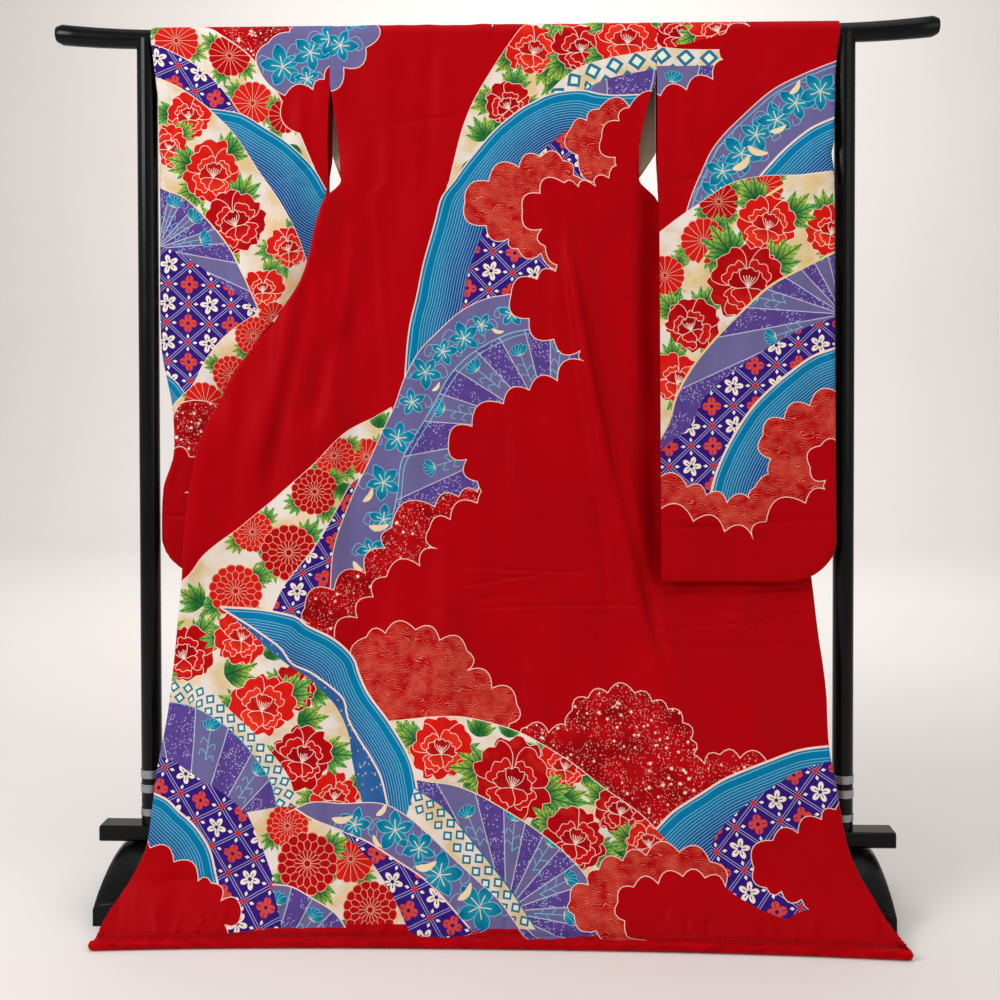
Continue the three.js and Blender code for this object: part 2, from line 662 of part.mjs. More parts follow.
// A post stands on the rail, and its head is hollowed to seat the bar.
function post(side) {
  const low = RAIL.high + SEAM_GAP;
  const shaft = new THREE.CylinderGeometry(POST.radius, POST.radius, BAR.z - low, POST.sides);
  shaft.rotateX(Math.PI / 2);
  shaft.translate(side * POST.x, 0, (BAR.z + low) / 2);
  const seat = solidOf(loft(barRings(SEAM_GAP)));
  return meshOf(side < 0 ? 'post_left' : 'post_right', fromSolid(solidOf(shaft).subtract(seat)), 'lacquer');
}

function postBand(side, band, index) {
  const inner = POST.radius + SEAM_GAP;
  const outer = inner + BAND_WALL;
  const profile = [[inner, band.low], [outer, band.low], [outer, band.high], [inner, band.high], [inner, band.low]];
  const ring = new THREE.LatheGeometry(profile.map(([r, h]) => new THREE.Vector2(r, h)), POST.sides);
  ring.rotateX(Math.PI / 2);
  ring.translate(side * POST.x, 0, 0);
  return meshOf(`band_${side < 0 ? 'left' : 'right'}_${index + 1}`, fromSolid(solidOf(ring)), 'silver');
}

function rail() {
  const half = RAIL.depth / 2;
  const outline = [[-half + RAIL.edge, RAIL.low], [half - RAIL.edge, RAIL.low], [half, RAIL.low + RAIL.edge],
    [half, RAIL.high - RAIL.edge], [half - RAIL.edge, RAIL.high], [-half + RAIL.edge, RAIL.high],
    [-half, RAIL.high - RAIL.edge], [-half, RAIL.low + RAIL.edge]];
  const rings = [-1, 1].map((end) => outline.map(([y, z]) => new THREE.Vector3(end * RAIL.half, y, z)));
  return meshOf('rail', loft(rings), 'lacquer');
}

// A foot is a block that arches from its low ends up to the rail, its top edges rounded over.
function foot(side) {
  const stations = 12;
  const rings = [];
  for (let i = 0; i <= stations; i++) {
    const y = lerp(-FOOT.half, FOOT.half, i / stations);
    const top = lerp(FOOT.end, FOOT.crown, Math.cos((Math.PI / 2) * (y / FOOT.half)) ** 0.8);
    const across = [-1, -0.94, -0.78, -0.4, 0.4, 0.78, 0.94, 1];
    const ring = across.map((t) => {
      const drop = FOOT.shoulder * Math.abs(t) ** 5;
      return new THREE.Vector3(side * POST.x + (t * FOOT.width) / 2, y, top - drop);
    });
    ring.push(new THREE.Vector3(side * POST.x + FOOT.width / 2, y, 0));
    ring.push(new THREE.Vector3(side * POST.x - FOOT.width / 2, y, 0));
    rings.push(ring);
  }
  return meshOf(side < 0 ? 'foot_left' : 'foot_right', loft(rings), 'lacquer');
}

// ---------- The whole ----------

const group = new THREE.Group();
group.position.y = -DEPTH_CENTRE;
group.add(meshOf('top_bar', loft(barRings(0)), 'lacquer'), rail());
for (const side of [-1, 1]) {
  group.add(post(side), foot(side));
  BANDS.forEach((band, index) => group.add(postBand(side, band, index)));
  group.add(backPanel(side), frontPanel(side), overlapPanel(side), sleeve(side));
}
group.add(collar(), hemRoll());

export default group;
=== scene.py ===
"""Bridal furisode hung by its sleeves over a black lacquered stand, its back turned to -Y.

Cloth is worked out in millimetres on flat boards: for the body, across from the centre back seam and
down from the bar; for a sleeve, across from the body edge and down from the bar. The dyed pattern is
cut into those boards, and a drape function then carries every point to its place.
"""
import math
import random
from collections import namedtuple

import bmesh
import bpy
import numpy as np
from bpy.props import FloatProperty, FloatVectorProperty, PointerProperty
from mathutils import Matrix, Vector
from mathutils.geometry import delaunay_2d_cdt


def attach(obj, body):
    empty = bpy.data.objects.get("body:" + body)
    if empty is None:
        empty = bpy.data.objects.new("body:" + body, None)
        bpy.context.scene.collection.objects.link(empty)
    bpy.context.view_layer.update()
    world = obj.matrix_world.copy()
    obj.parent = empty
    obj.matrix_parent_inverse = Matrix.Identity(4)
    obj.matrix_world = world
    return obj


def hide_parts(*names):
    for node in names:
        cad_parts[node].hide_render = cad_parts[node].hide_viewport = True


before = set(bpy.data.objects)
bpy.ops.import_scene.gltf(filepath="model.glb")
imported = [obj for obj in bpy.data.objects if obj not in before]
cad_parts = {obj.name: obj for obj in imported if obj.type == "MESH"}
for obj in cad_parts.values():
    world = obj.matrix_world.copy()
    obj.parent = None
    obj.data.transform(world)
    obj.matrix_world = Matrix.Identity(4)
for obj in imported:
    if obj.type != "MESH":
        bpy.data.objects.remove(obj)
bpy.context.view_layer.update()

bl_info = {
    "name": "Bridal Furisode on a Stand",
    "version": (1, 0, 0),
    "blender": (4, 5, 0),
    "location": "3D View > Sidebar > Furisode",
    "description": "Builds a yuzen-dyed bridal furisode over its lacquered stand",
    "category": "Object",
}

MM = 0.001
POST_PLANE = 56.0

# ---------- Sizes of the hang, in millimetres ----------

CLOTH = 1.8
BAR_Z = 1680.0
# How far the cloth's middle lies from the bar's, and its length over the bar.
SADDLE = 23.0
OVER_BAR = math.pi * SADDLE
SHOULDER, SLIT_END, SLEEVE_SEAM = 1590.0, 1400.0, 316.0
NECK_HALF, NECK_RISE = 88.0, 26.0
BACK, FRONT, WHOLE = 305.0, 565.0, 725.0
OVERLAP_TOP, OVERLAP_FULL = 1040.0, 680.0
FOLD_RADIUS, COLLAR_WIDTH, COLLAR_CLOTH, CORNER_REACH = 6.5, 58.0, 3.0, 26.0
FOOT_HALF, FOOT_END = 182.0, 42.0
SEAM_GAP = 0.3
# How far the red silk is turned in over the lining, and how wide an overlap is where it starts.
HEM_FACING, SLEEVE_FACING, TIP = 110.0, 14.0, 1.6
# The collar's slant at the shoulder, and the length over which it comes level.
COLLAR_TURN, COLLAR_EASE = math.radians(37), 95.0
# The hem spreads a little further to one side. The cloth's edge and the roll are set off by it.
HEM_SHIFT = 14.0
FOLD_STRENGTH, CREASE_STRENGTH = 1.45, 1.8

Hang = namedtuple("Hang", "z y left right open")
HANG = [Hang(*row) for row in (
    (1680, -SADDLE, 316, 316, 88), (1635, -23, 316, 316, 88), (1590, -23, 316, 314, 88),
    (1545, -24, 310, 300, 86), (1500, -24, 304, 290, 85), (1450, -25, 298, 282, 86),
    (1400, -26, 295, 282, 92), (1360, -27, 326, 316, 102), (1310, -28, 341, 340, 118),
    (1250, -29, 354, 370, 146), (1185, -30, 382, 408, 192), (1115, -31, 432, 450, 264),
    (1050, -32, 484, 490, 344), (980, -33, 526, 528, 420), (910, -34, 564, 558, 468),
    (820, -35, 584, 584, 490), (730, -37, 597, 604, 492), (640, -40, 603, 614, 492),
    (560, -50, 611, 620, 496), (480, -64, 618, 626, 504), (400, -84, 624, 630, 512),
    (325, -106, 633, 629, 522), (255, -128, 641, 636, 536), (190, -146, 647, 642, 556),
    (138, -160, 655, 654, 586), (98, -174, 674, 669, 622), (66, -188, 695, 688, 656),
    (40, -202, 711, 702, 682), (19, -216, 720, 717, 704), (9, -232, 724, 724, 720),
    (9, -250, 725, 725, 725),
)]
FarEdge = namedtuple("FarEdge", "z seam neck")
FAR_EDGE = [FarEdge(*row) for row in (
    (1680, SADDLE, 23), (1635, 22, 23), (1590, 20, 23), (1545, 17, 22),
    (1500, 13, 21), (1450, 6, 19), (1400, -13, 17), (1250, -16, 12),
    (1050, -18, 8),
)]
Sleeve = namedtuple("Sleeve", "z body cuff near far")
SLEEVES = {
    -1: [Sleeve(*row) for row in (
        (1680, 316, 666, -23, 23), (1635, 316, 661, -23, 22), (1590, 316, 656, -22, 20),
        (1545, 319, 652, -21, 17), (1500, 321, 652, -19, 13), (1450, 322, 652, -16, 8),
        (1400, 322, 652, -11, 8), (1340, 322, 652, -8, 8), (1080, 322, 651, -7, 9),
        (960, 322, 631, -7, 9), (880, 322, 627, -7, 9), (790, 322, 650, -7, 9),
        (620, 322, 652, -6, 10),
    )],
    1: [Sleeve(*row) for row in (
        (1680, 316, 666, -23, 23), (1635, 316, 660, -24, 22), (1590, 316, 656, -26, 20),
        (1545, 316, 655, -29, 17), (1500, 316, 653, -33, 13), (1450, 316, 651, -38, 6),
        (1400, 317, 650, -44, -12), (1340, 318, 649, -49, -30), (1250, 319, 649, -51, -35),
        (900, 321, 652, -51, -35), (620, 323, 654, -52, -36),
    )],
}
SLEEVE_WIDTH, SLEEVE_BOTTOM, CORNER_WIDE, CORNER_HIGH, CUFF_OPEN = 336.0, 622.0, 100.0, 82.0, 1450.0
# How far down the cloth the padded roll is sewn on.
HEM_SEAM = 1701.0

# Soft folds of the skirt: a line down the cloth, its half width, and how far it stands out or sinks in.
Fold = namedtuple("Fold", "x1 z1 x2 z2 x3 z3 half out")
FOLDS = [Fold(*row) for row in (
    (142, 1290, 206, 960, 300, 590, 38, 9), (300, 590, 330, 470, 388, 215, 42, 9),
    (190, 1230, 252, 960, 345, 600, 34, -5), (206, 515, 262, 350, 322, 190, 30, -8),
    (-322, 1380, -384, 1160, -462, 850, 32, 7), (-300, 1100, -330, 1010, -356, 930, 28, -6),
    (-545, 930, -570, 780, -592, 640, 26, 5), (-262, 1470, -266, 1320, -272, 1160, 26, 5),
    (-90, 620, -100, 420, -120, 230, 34, 6), (-420, 560, -430, 380, -470, 190, 48, 7),
    (-250, 560, -260, 380, -250, 190, 44, -6), (480, 600, 500, 400, 520, 200, 46, 6),
    (90, 560, 96, 380, 110, 190, 46, 5),
    (161, 1250, 233, 835, 338, 430, 12, -6), (143, 1250, 214, 835, 318, 430, 14, 3.4),
    (-352, 1240, -392, 1000, -440, 800, 15, -4.5), (-118, 1250, -128, 900, -122, 640, 20, -3),
    (32, 1300, 40, 1000, 46, 720, 18, 2.6), (-572, 300, -520, 215, -470, 120, 30, 7),
)]

# Creases on the flat board: from and to across and down, half width, and height of each.
Crease = namedtuple("Crease", "u1 d1 u2 d2 half out")
BODY_CREASES = [Crease(*row) for row in (
    (130, 420, 215, 1080, 11, -2.6), (215, 1080, 300, 1360, 13, -2.2),
    (150, 420, 232, 1060, 10, 2.2), (-262, 350, -330, 800, 13, 2.4),
    (-350, 480, -420, 880, 14, -2.4), (-215, 200, -205, 640, 12, 1.8),
    (-60, 240, -66, 620, 12, -1.6), (60, 260, 80, 640, 13, 1.5),
    (-170, 1090, -100, 1110, 7, -1), (-40, 1096, 70, 1086, 6, -1.2),
    (250, 520, 330, 524, 7, -1.2), (330, 1118, 560, 1104, 7, -1.6),
    (300, 1176, 600, 1182, 7, -1.5), (-95, 1170, -96, 1330, 7, 1.3),
    (-250, 180, -60, 160, 6, -1), (-480, 1180, -330, 1260, 16, 2.4),
    (-560, 1330, -480, 1560, 15, 2.2), (-330, 1330, -290, 1620, 14, -2.4),
    (-210, 1420, -190, 1660, 14, 2.2), (-20, 1420, 20, 1660, 16, -2),
    (190, 1520, 330, 1620, 15, -3), (330, 1560, 520, 1680, 14, -2.6),
    (420, 1500, 560, 1640, 18, 2.4), (-620, 1620, -470, 1600, 10, -2.4),
    (-480, 1010, -400, 1170, 18, -2.2), (400, 760, 440, 1000, 16, 1.8),
    (500, 1180, 520, 1400, 18, -2), (640, 900, 660, 1300, 16, 2),
    (-640, 900, -670, 1300, 17, -2), (400, 300, 420, 800, 16, 2),
    (-400, 260, -430, 760, 16, -1.8), (480, 420, 500, 900, 14, -1.8),
    (-490, 380, -520, 900, 15, 1.8), (690, 1300, 700, 1600, 15, -2),
    (90, 20, 96, 260, 12, 1.4), (-120, 10, -128, 300, 14, -1.4),
)] + [Crease(u1, d1 + step, u2, d2 + step, 4.2, out)
     for u1, d1, u2, d2 in ((-60, 1033, 190, 1040), (-58, 1064, 84, 1048), (-56, 1112, 292, 1100),
                            (320, 1080, 596, 1071), (318, 1146, 470, 1140), (470, 1140, 600, 1118))
     for step, out in ((0, -1.3), (6, 0.8))]
# The seam that gathers the padded hem, and the puckers that it pulls into the cloth above.
HEM_CREASES = [Crease(0, HEM_SEAM, 735, HEM_SEAM, 3.6, -2.0),
               Crease(-735, HEM_SEAM, 0, HEM_SEAM, 3.6, -2.0)] + [
    Crease(u, HEM_SEAM - 4, u + 9 * math.sin(u / 90), HEM_SEAM - 50 - 22 * math.sin(u / 7.0), 6.5,
           2.1 * math.sin(u / 3.1)) for u in range(-690, 700, 37)]
SLEEVE_CREASES = [Crease(*row) for row in (
    (20, 952, 325, 938, 5, -2.2), (60, 120, 84, 520, 15, 1.8), (200, 60, 210, 470, 17, -1.8),
    (290, 90, 280, 520, 13, 1.6), (120, 560, 150, 900, 16, -1.6), (250, 600, 240, 930, 15, 1.8),
    (10, 300, 120, 262, 7, -1.2), (30, 245, 110, 285, 6, -1), (70, -180, 90, -620, 15, 1.8),
    (230, -150, 215, -700, 17, -1.8), (150, -640, 170, -1010, 16, 1.8),
    (20, -900, 300, -915, 7, -1.4), (300, -300, 285, -800, 13, 1.6),
)]


# ---------- Curves and tables ----------

def smooth(x):
    x = np.clip(x, 0.0, 1.0)
    return x * x * (3 - 2 * x)


def column(keys, values):
    """A smooth reading of a table's column, which never overshoots its values."""
    order = np.argsort(np.asarray(keys, float))
    k = np.asarray(keys, float)[order]
    v = np.asarray(values, float)[order]
    slope = np.zeros(len(k))
    for i in range(1, len(k) - 1):
        if (v[i] - v[i - 1]) * (v[i + 1] - v[i]) > 0:
            slope[i] = (v[i + 1] - v[i - 1]) / (k[i + 1] - k[i - 1])

    def read(at):
        at = np.asarray(at, float)
        i = np.clip(np.searchsorted(k, at, side="right") - 1, 0, len(k) - 2)
        span = k[i + 1] - k[i]
        t = np.clip((at - k[i]) / span, 0, 1)
        bend = 2 * t**3 - 3 * t**2
        return ((1 + bend) * v[i] + span * (t**3 - 2 * t**2 + t) * slope[i]
                - bend * v[i + 1] + span * (t**3 - t**2) * slope[i + 1])
    return read


def flowing(points, closed=False, step=10.0):
    """A smooth line through the points, as points about a step apart."""
    p = np.asarray(points, float)
    count = len(p)
    out = []
    for i in range(count if closed else count - 1):
        b, c = p[i], p[(i + 1) % count]
        a = p[i - 1] if closed or i else 2 * b - c
        d = p[(i + 2) % count] if closed or i + 2 < count else 2 * c - b
        pieces = max(1, int(round(np.linalg.norm(c - b) / step)))
        for t in np.arange(pieces) / pieces:
            out.append(0.5 * (2 * b + (c - a) * t + (2 * a - 5 * b + 4 * c - d) * t**2
                              + (3 * b - a - 3 * c + d) * t**3))
    if not closed:
        out.append(p[-1])
    return np.array(out)


def sideways(line, closed=False):
    """Unit vectors across a line, to its right."""
    ahead = np.roll(line, -1, 0) - np.roll(line, 1, 0)
    if not closed:
        ahead[0], ahead[-1] = line[1] - line[0], line[-1] - line[-2]
    ahead /= np.maximum(np.linalg.norm(ahead, axis=1), 1e-6)[:, None]
    return np.stack([ahead[:, 1], -ahead[:, 0]], 1)


def shrunk(points, by):
    """A closed outline moved inwards."""
    x, y = points[:, 0], points[:, 1]
    turning = np.sign(np.sum(x * np.roll(y, -1) - np.roll(x, -1) * y)) or 1.0
    return points - sideways(points, closed=True) * by * turning


def along(line):
    """Coordinates beside a line, in metres: along it, and away from it."""
    start, run = line[:-1], np.diff(line, axis=0)
    length = np.maximum(np.linalg.norm(run, axis=1), 1e-6)
    before = np.concatenate([[0], np.cumsum(length)[:-1]])

    def place(points):
        away = points[:, None, :] - start[None]
        t = np.clip(np.sum(away * run, -1) / length**2, 0, 1)
        far = np.linalg.norm(away - t[..., None] * run, axis=-1)
        best = np.argmin(far, axis=1)
        pick = np.arange(len(points))
        return np.stack([before[best] + t[pick, best] * length[best], far[pick, best]], 1) * MM
    return place


def enlarged(line, by):
    """Coordinates beside a line that make what is read from them larger."""
    place = along(flowing(line))
    return lambda points: place(points) / by


def around(centre, turn=0.0, size=1000.0, code=0.0):
    """Straight coordinates about a point, turned and scaled; code is a whole number read by the finish."""
    c, s = math.cos(turn), math.sin(turn)
    centre = np.array(centre, float)

    def place(points):
        p = (points - centre) / size
        return np.stack([p[:, 0] * c + p[:, 1] * s + 4.0 * code, p[:, 1] * c - p[:, 0] * s], 1)
    return place


# ---------- The drape ----------

ROW = np.arange(len(HANG))
AT = {name: column(ROW, [getattr(h, name) for h in HANG]) for name in Hang._fields}
FAR_SEAM = column([f.z for f in FAR_EDGE], [f.seam for f in FAR_EDGE])
FAR_NECK = column([f.z for f in FAR_EDGE], [f.neck for f in FAR_EDGE])
SLIT_ROW, SHOULDER_ROW, LAST_ROW = 6, 2, len(HANG) - 1
FINE_ROWS = np.linspace(0, LAST_ROW, 1201)
DOWN = np.concatenate([[0], np.cumsum(np.hypot(np.diff(AT["z"](FINE_ROWS)), np.diff(AT["y"](FINE_ROWS))))])
HEM_DOWN = float(DOWN[-1])


def row_at(down):
    """The row of the hang table at a length down the cloth, in parts of a row."""
    return np.interp(down, DOWN, FINE_ROWS)


def down_at(row):
    return float(np.interp(row, FINE_ROWS, DOWN))


def fold_depth(x, z):
    """How far the soft folds push the hanging cloth back or forward."""
    depth = 2.2 * np.sin(x / 43 + z / 900) * smooth((1640 - z) / 500)
    for f in FOLDS:
        t = (f.z1 - z) / (f.z1 - f.z3)
        s = np.clip(t, 0, 1)
        line = (1 - s) ** 2 * f.x1 + 2 * s * (1 - s) * f.x2 + s * s * f.x3
        ends = smooth((t + 0.2) / 0.4) * smooth((1.2 - t) / 0.4)
        depth = depth - FOLD_STRENGTH * f.out * np.exp(-(((x - line) / f.half) ** 2)) * ends
    return depth


def near_depth(side, x, row):
    """The place in depth of the cloth that faces the viewer."""
    z = AT["z"](row)
    beside = smooth((np.abs(x) - 262) / 56) * smooth((SLIT_END + 30 - z) / 90)
    hang = -16 * smooth((z - 520) / 200) if side < 0 else 20 * smooth((z - 450) / 240)
    corner = -CORNER_REACH * (np.abs(x) / WHOLE) ** 2.5 * smooth((90 - z) / 80)
    return AT["y"](row) + beside * hang + fold_depth(x, z) * smooth((z - 5) / 60) + corner


def far_depth(side, x, row, upper):
    """The place in depth of the fronts, on the far side."""
    z = AT["z"](row)
    near = near_depth(side, x, row) + 2 * FOLD_RADIUS
    edge = FAR_SEAM(z) if upper else near
    inner = FAR_NECK(z) if upper else np.maximum(FAR_NECK(np.maximum(z, 1050)), edge)
    return edge + (inner - edge) * smooth((320 - np.abs(x)) / 140) * smooth((z - 560) / 300)


def foot_lift(x, y):
    """The least height of the cloth where it lies over the stand's feet."""
    ahead = -y - FOOT_HALF
    front = np.where(ahead < 0, 1.0, smooth(1 - (ahead - 6) / 56))
    return (FOOT_END + 6) * front * smooth((np.abs(x) - 540) / 80)


def cloth_width(row):
    """Half the cloth's whole width, from the centre back seam to the collar or the overlap's edge."""
    z = AT["z"](row)
    front = FRONT - 32 + 32 * smooth((SHOULDER - z) / (SHOULDER - OVERLAP_TOP))
    return front + (WHOLE - FRONT) * np.clip((OVERLAP_TOP + 30 - z) / (OVERLAP_TOP + 30 - OVERLAP_FULL), 0, 1)


def seen_width(side, row):
    """How far the cloth reaches from the centre back seam as it hangs."""
    return AT["left"](row) if side < 0 else AT["right"](row)


def fold_line(side, row):
    """How far from the centre back seam the cloth turns under, on the flat board."""
    visible = seen_width(side, row)
    ease = smooth((row - SLIT_ROW) / 3)
    return np.minimum(visible / (visible / BACK + (1 - visible / BACK) * ease), cloth_width(row))


def upper_body(side, s, row, front):
    """From the bar to the underarm, where the fronts and the backs hang apart."""
    visible = seen_width(side, row)
    if front:
        x = side * (SLEEVE_SEAM + (AT["open"](row) - SLEEVE_SEAM) * (s - BACK) / (cloth_width(row) - BACK))
        y = far_depth(side, x, row, True)
    else:
        x = side * s * visible / BACK
        y = near_depth(side, x, row)
    return np.stack([x, y, AT["z"](row)], -1)


def lower_body(side, s, row):
    """Below the underarm: the back, the turn at the side, and the front folded in behind it."""
    visible, whole, fold = seen_width(side, row), cloth_width(row), fold_line(side, row)
    radius = FOLD_RADIUS * smooth((whole - fold) / 60)
    half = math.pi / 2 * radius
    near = (s <= fold - half) | (radius == 0)
    turn = ~near & (s < fold + half)
    angle = ((s - fold) / np.maximum(2 * half, 1e-6) + 0.5) * math.pi
    scale = np.where(radius > 0, (visible - radius) / np.maximum(fold - half, 1), visible / whole)
    past = (s - fold - half) / np.maximum(whole - fold - half, 1)
    x = np.where(near, side * s * scale, np.where(
        turn, side * (visible - radius + radius * np.sin(angle)),
        side * (visible - radius + (AT["open"](row) - visible + radius) * past)))
    y = near_depth(side, np.where(turn, side * (visible - radius), x), row)
    behind = np.maximum(far_depth(side, x, row, False) - y, 2 * radius)
    behind = 2 * radius + (behind - 2 * radius) * smooth((s - fold - half) / 24)
    under = np.where(near, 0.0, np.where(turn, radius * (1 - np.cos(angle)), behind))
    lean = np.arctan2(AT["y"](row - 0.5) - AT["y"](row + 0.5), AT["z"](row - 0.5) - AT["z"](row + 0.5))
    z = np.maximum(AT["z"](row), foot_lift(x, y))
    shift = HEM_SHIFT * smooth((row - 16) / 14)
    return np.stack([x + shift, y + under * np.cos(lean), z - under * np.sin(lean) * 0.8], -1)


def body_drape(front):
    """The drape of a back panel, or of a front panel and its overlap, from the signed board."""
    def drape(u, d):
        side = -1 if np.mean(u) < 0 else 1
        s = side * u
        row = row_at(np.maximum(d, 0))
        t = np.clip(row - (SLIT_ROW - 1), 0, 1)[:, None]
        point = upper_body(side, s, np.minimum(row, SLIT_ROW - 1), front) * (1 - t)
        point = point + lower_body(side, s, np.maximum(row, SLIT_ROW)) * t
        angle = np.clip(-d / SADDLE, 0, math.pi)
        over = d < 0
        point[over, 1] = -SADDLE * np.cos(angle[over])
        point[over, 2] = BAR_Z + SADDLE * np.sin(angle[over]) - np.maximum(-d[over] - OVER_BAR, 0)
        return point
    return drape


def sleeve_drape(side):
    table = SLEEVES[side]
    of = {name: column([r.z for r in table], [getattr(r, name) for r in table]) for name in Sleeve._fields}

    def bulge(z):
        return 3.0 * smooth((CUFF_OPEN - z) / 40)

    def bottom(f):
        u = np.clip(1 - (1 - f) * (of["cuff"](700) - of["body"](700)) / CORNER_WIDE, 0, 1)
        return SLEEVE_BOTTOM + CORNER_HIGH * (1 - np.sqrt(1 - u * u * 0.985))

    heights = np.linspace(CUFF_OPEN, float(bottom(1.0)), 24)
    f = 1 - np.linspace(0, 1, 60)
    low = bottom(f)
    sewn = np.concatenate([
        np.stack([of["cuff"](heights) + bulge(heights), heights], 1),
        np.stack([of["body"](low) + f * (of["cuff"](low) + bulge(low) - of["body"](low)), low], 1)])
    rim = along(sewn)

    def drape(a, d):
        f = a / SLEEVE_WIDTH
        far = d < -OVER_BAR
        z = np.where(d >= 0, BAR_Z - d, np.where(far, BAR_Z + d + OVER_BAR, BAR_Z))
        body = of["body"](z)
        body = np.where(d < 0, body + (SLEEVE_SEAM - body) * smooth((z - SLIT_END) / 50), body)
        x = body + f * (of["cuff"](z) + bulge(z) - body) + SEAM_GAP
        near, behind = of["near"](z), of["far"](z)
        middle, half = (near + behind) / 2, np.maximum((behind - near) / 2, 1.0)
        apart = rim(np.stack([x, z], 1))[:, 1] / MM
        apart = np.where((f > 1) | (z < bottom(np.clip(f, 0, 1))), 0.0, apart)
        open_out = np.sqrt(np.clip(1 - (1 - np.minimum(apart / half, 1)) ** 2, 0, 1))
        y = middle + np.where(d >= 0, -1, 1) * (half * open_out + 0.2)
        y = y + 1.8 * np.sin(side * x / 37 + z / 300) * smooth((1500 - z) / 300)
        over = (d < 0) & ~far
        angle = np.clip(-d / SADDLE, 0, math.pi)
        y = np.where(over, -SADDLE * np.cos(angle), y)
        z = np.where(over, BAR_Z + SADDLE * np.sin(angle), z)
        return np.stack([side * x, y, z], -1)
    drape.length = lambda f: BAR_Z - bottom(f)
    return drape


def creased(drape, creases, sign, calm):
    """A drape with its creases and its outward direction: returns points and unit normals."""
    def lift(u, d):
        out = 0.85 * np.sin(u / 17.0 + 1.3 * np.sin(d / 61.0)) * np.sin(d / 83.0 + 0.7 * np.sin(u / 37.0))
        out = out + 0.4 * np.sin(u / 9.5 + 2.0 * np.sin(d / 130.0)) * np.sin(d / 190.0 + u / 60.0)
        for i, c in enumerate(creases):
            run = np.array([c.u2 - c.u1, c.d2 - c.d1], float)
            size = np.hypot(*run)
            t = ((u - c.u1) * run[0] + (d - c.d1) * run[1]) / size**2
            off = ((u - c.u1) * run[1] - (d - c.d1) * run[0]) / size
            off = off + 0.5 * c.half * np.sin(t * 5 + i)
            ends = smooth((t + 0.15) / 0.3) * smooth((1.15 - t) / 0.3) * (0.8 + 0.2 * np.sin(7 * t + 2 * i))
            out = out + c.out * np.exp(-((off / c.half) ** 2)) * ends
        return CREASE_STRENGTH * out * calm(u, d)

    def direction(surface, u, d):
        reach = 0.8
        across = surface(u + reach, d) - surface(u - reach, d)
        down = surface(u, d + reach) - surface(u, d - reach)
        normal = sign * np.cross(across, down)
        return normal / np.maximum(np.linalg.norm(normal, axis=1), 1e-9)[:, None]

    def raised(u, d):
        return drape(u, d) + direction(drape, u, d) * lift(u, d)[:, None]

    return lambda u, d: (raised(u, d), direction(raised, u, d))


# ---------- The dyed pattern ----------

# A patch lies inside another, given by its index, or only where the cloth is already patterned, or
# anywhere (None).
Patch = namedtuple("Patch", "points finish place inside low high")
ON_PATTERN = -1
PETAL = [(0.0, 0.0), (0.2, 0.17), (0.44, 0.44), (0.53, 0.72), (0.43, 0.9), (0.27, 0.87), (0.13, 1.0),
         (-0.07, 0.98), (-0.2, 0.88), (-0.38, 0.95), (-0.52, 0.76), (-0.44, 0.43), (-0.2, 0.17)]
LOBE = [(0.0, 0.0), (0.1, 0.2), (0.16, 0.45), (0.15, 0.62), (0.07, 0.84), (0.0, 1.0),
        (-0.08, 0.82), (-0.15, 0.6), (-0.16, 0.4), (-0.1, 0.18)]
BLADE = [(0.0, 0.0), (0.16, 0.3), (0.2, 0.6), (0.1, 0.86), (0.0, 1.0), (-0.12, 0.84), (-0.2, 0.6), (-0.15, 0.28)]
CRESCENT = [(0.0, 0.0), (0.3, 0.12), (0.46, 0.42), (0.44, 0.75), (0.3, 1.0), (0.22, 0.74), (0.16, 0.5),
            (0.06, 0.3)]

# Cusps of a cloud that are nearer than this have a lobe between them.
LONGEST_LOBE = 150


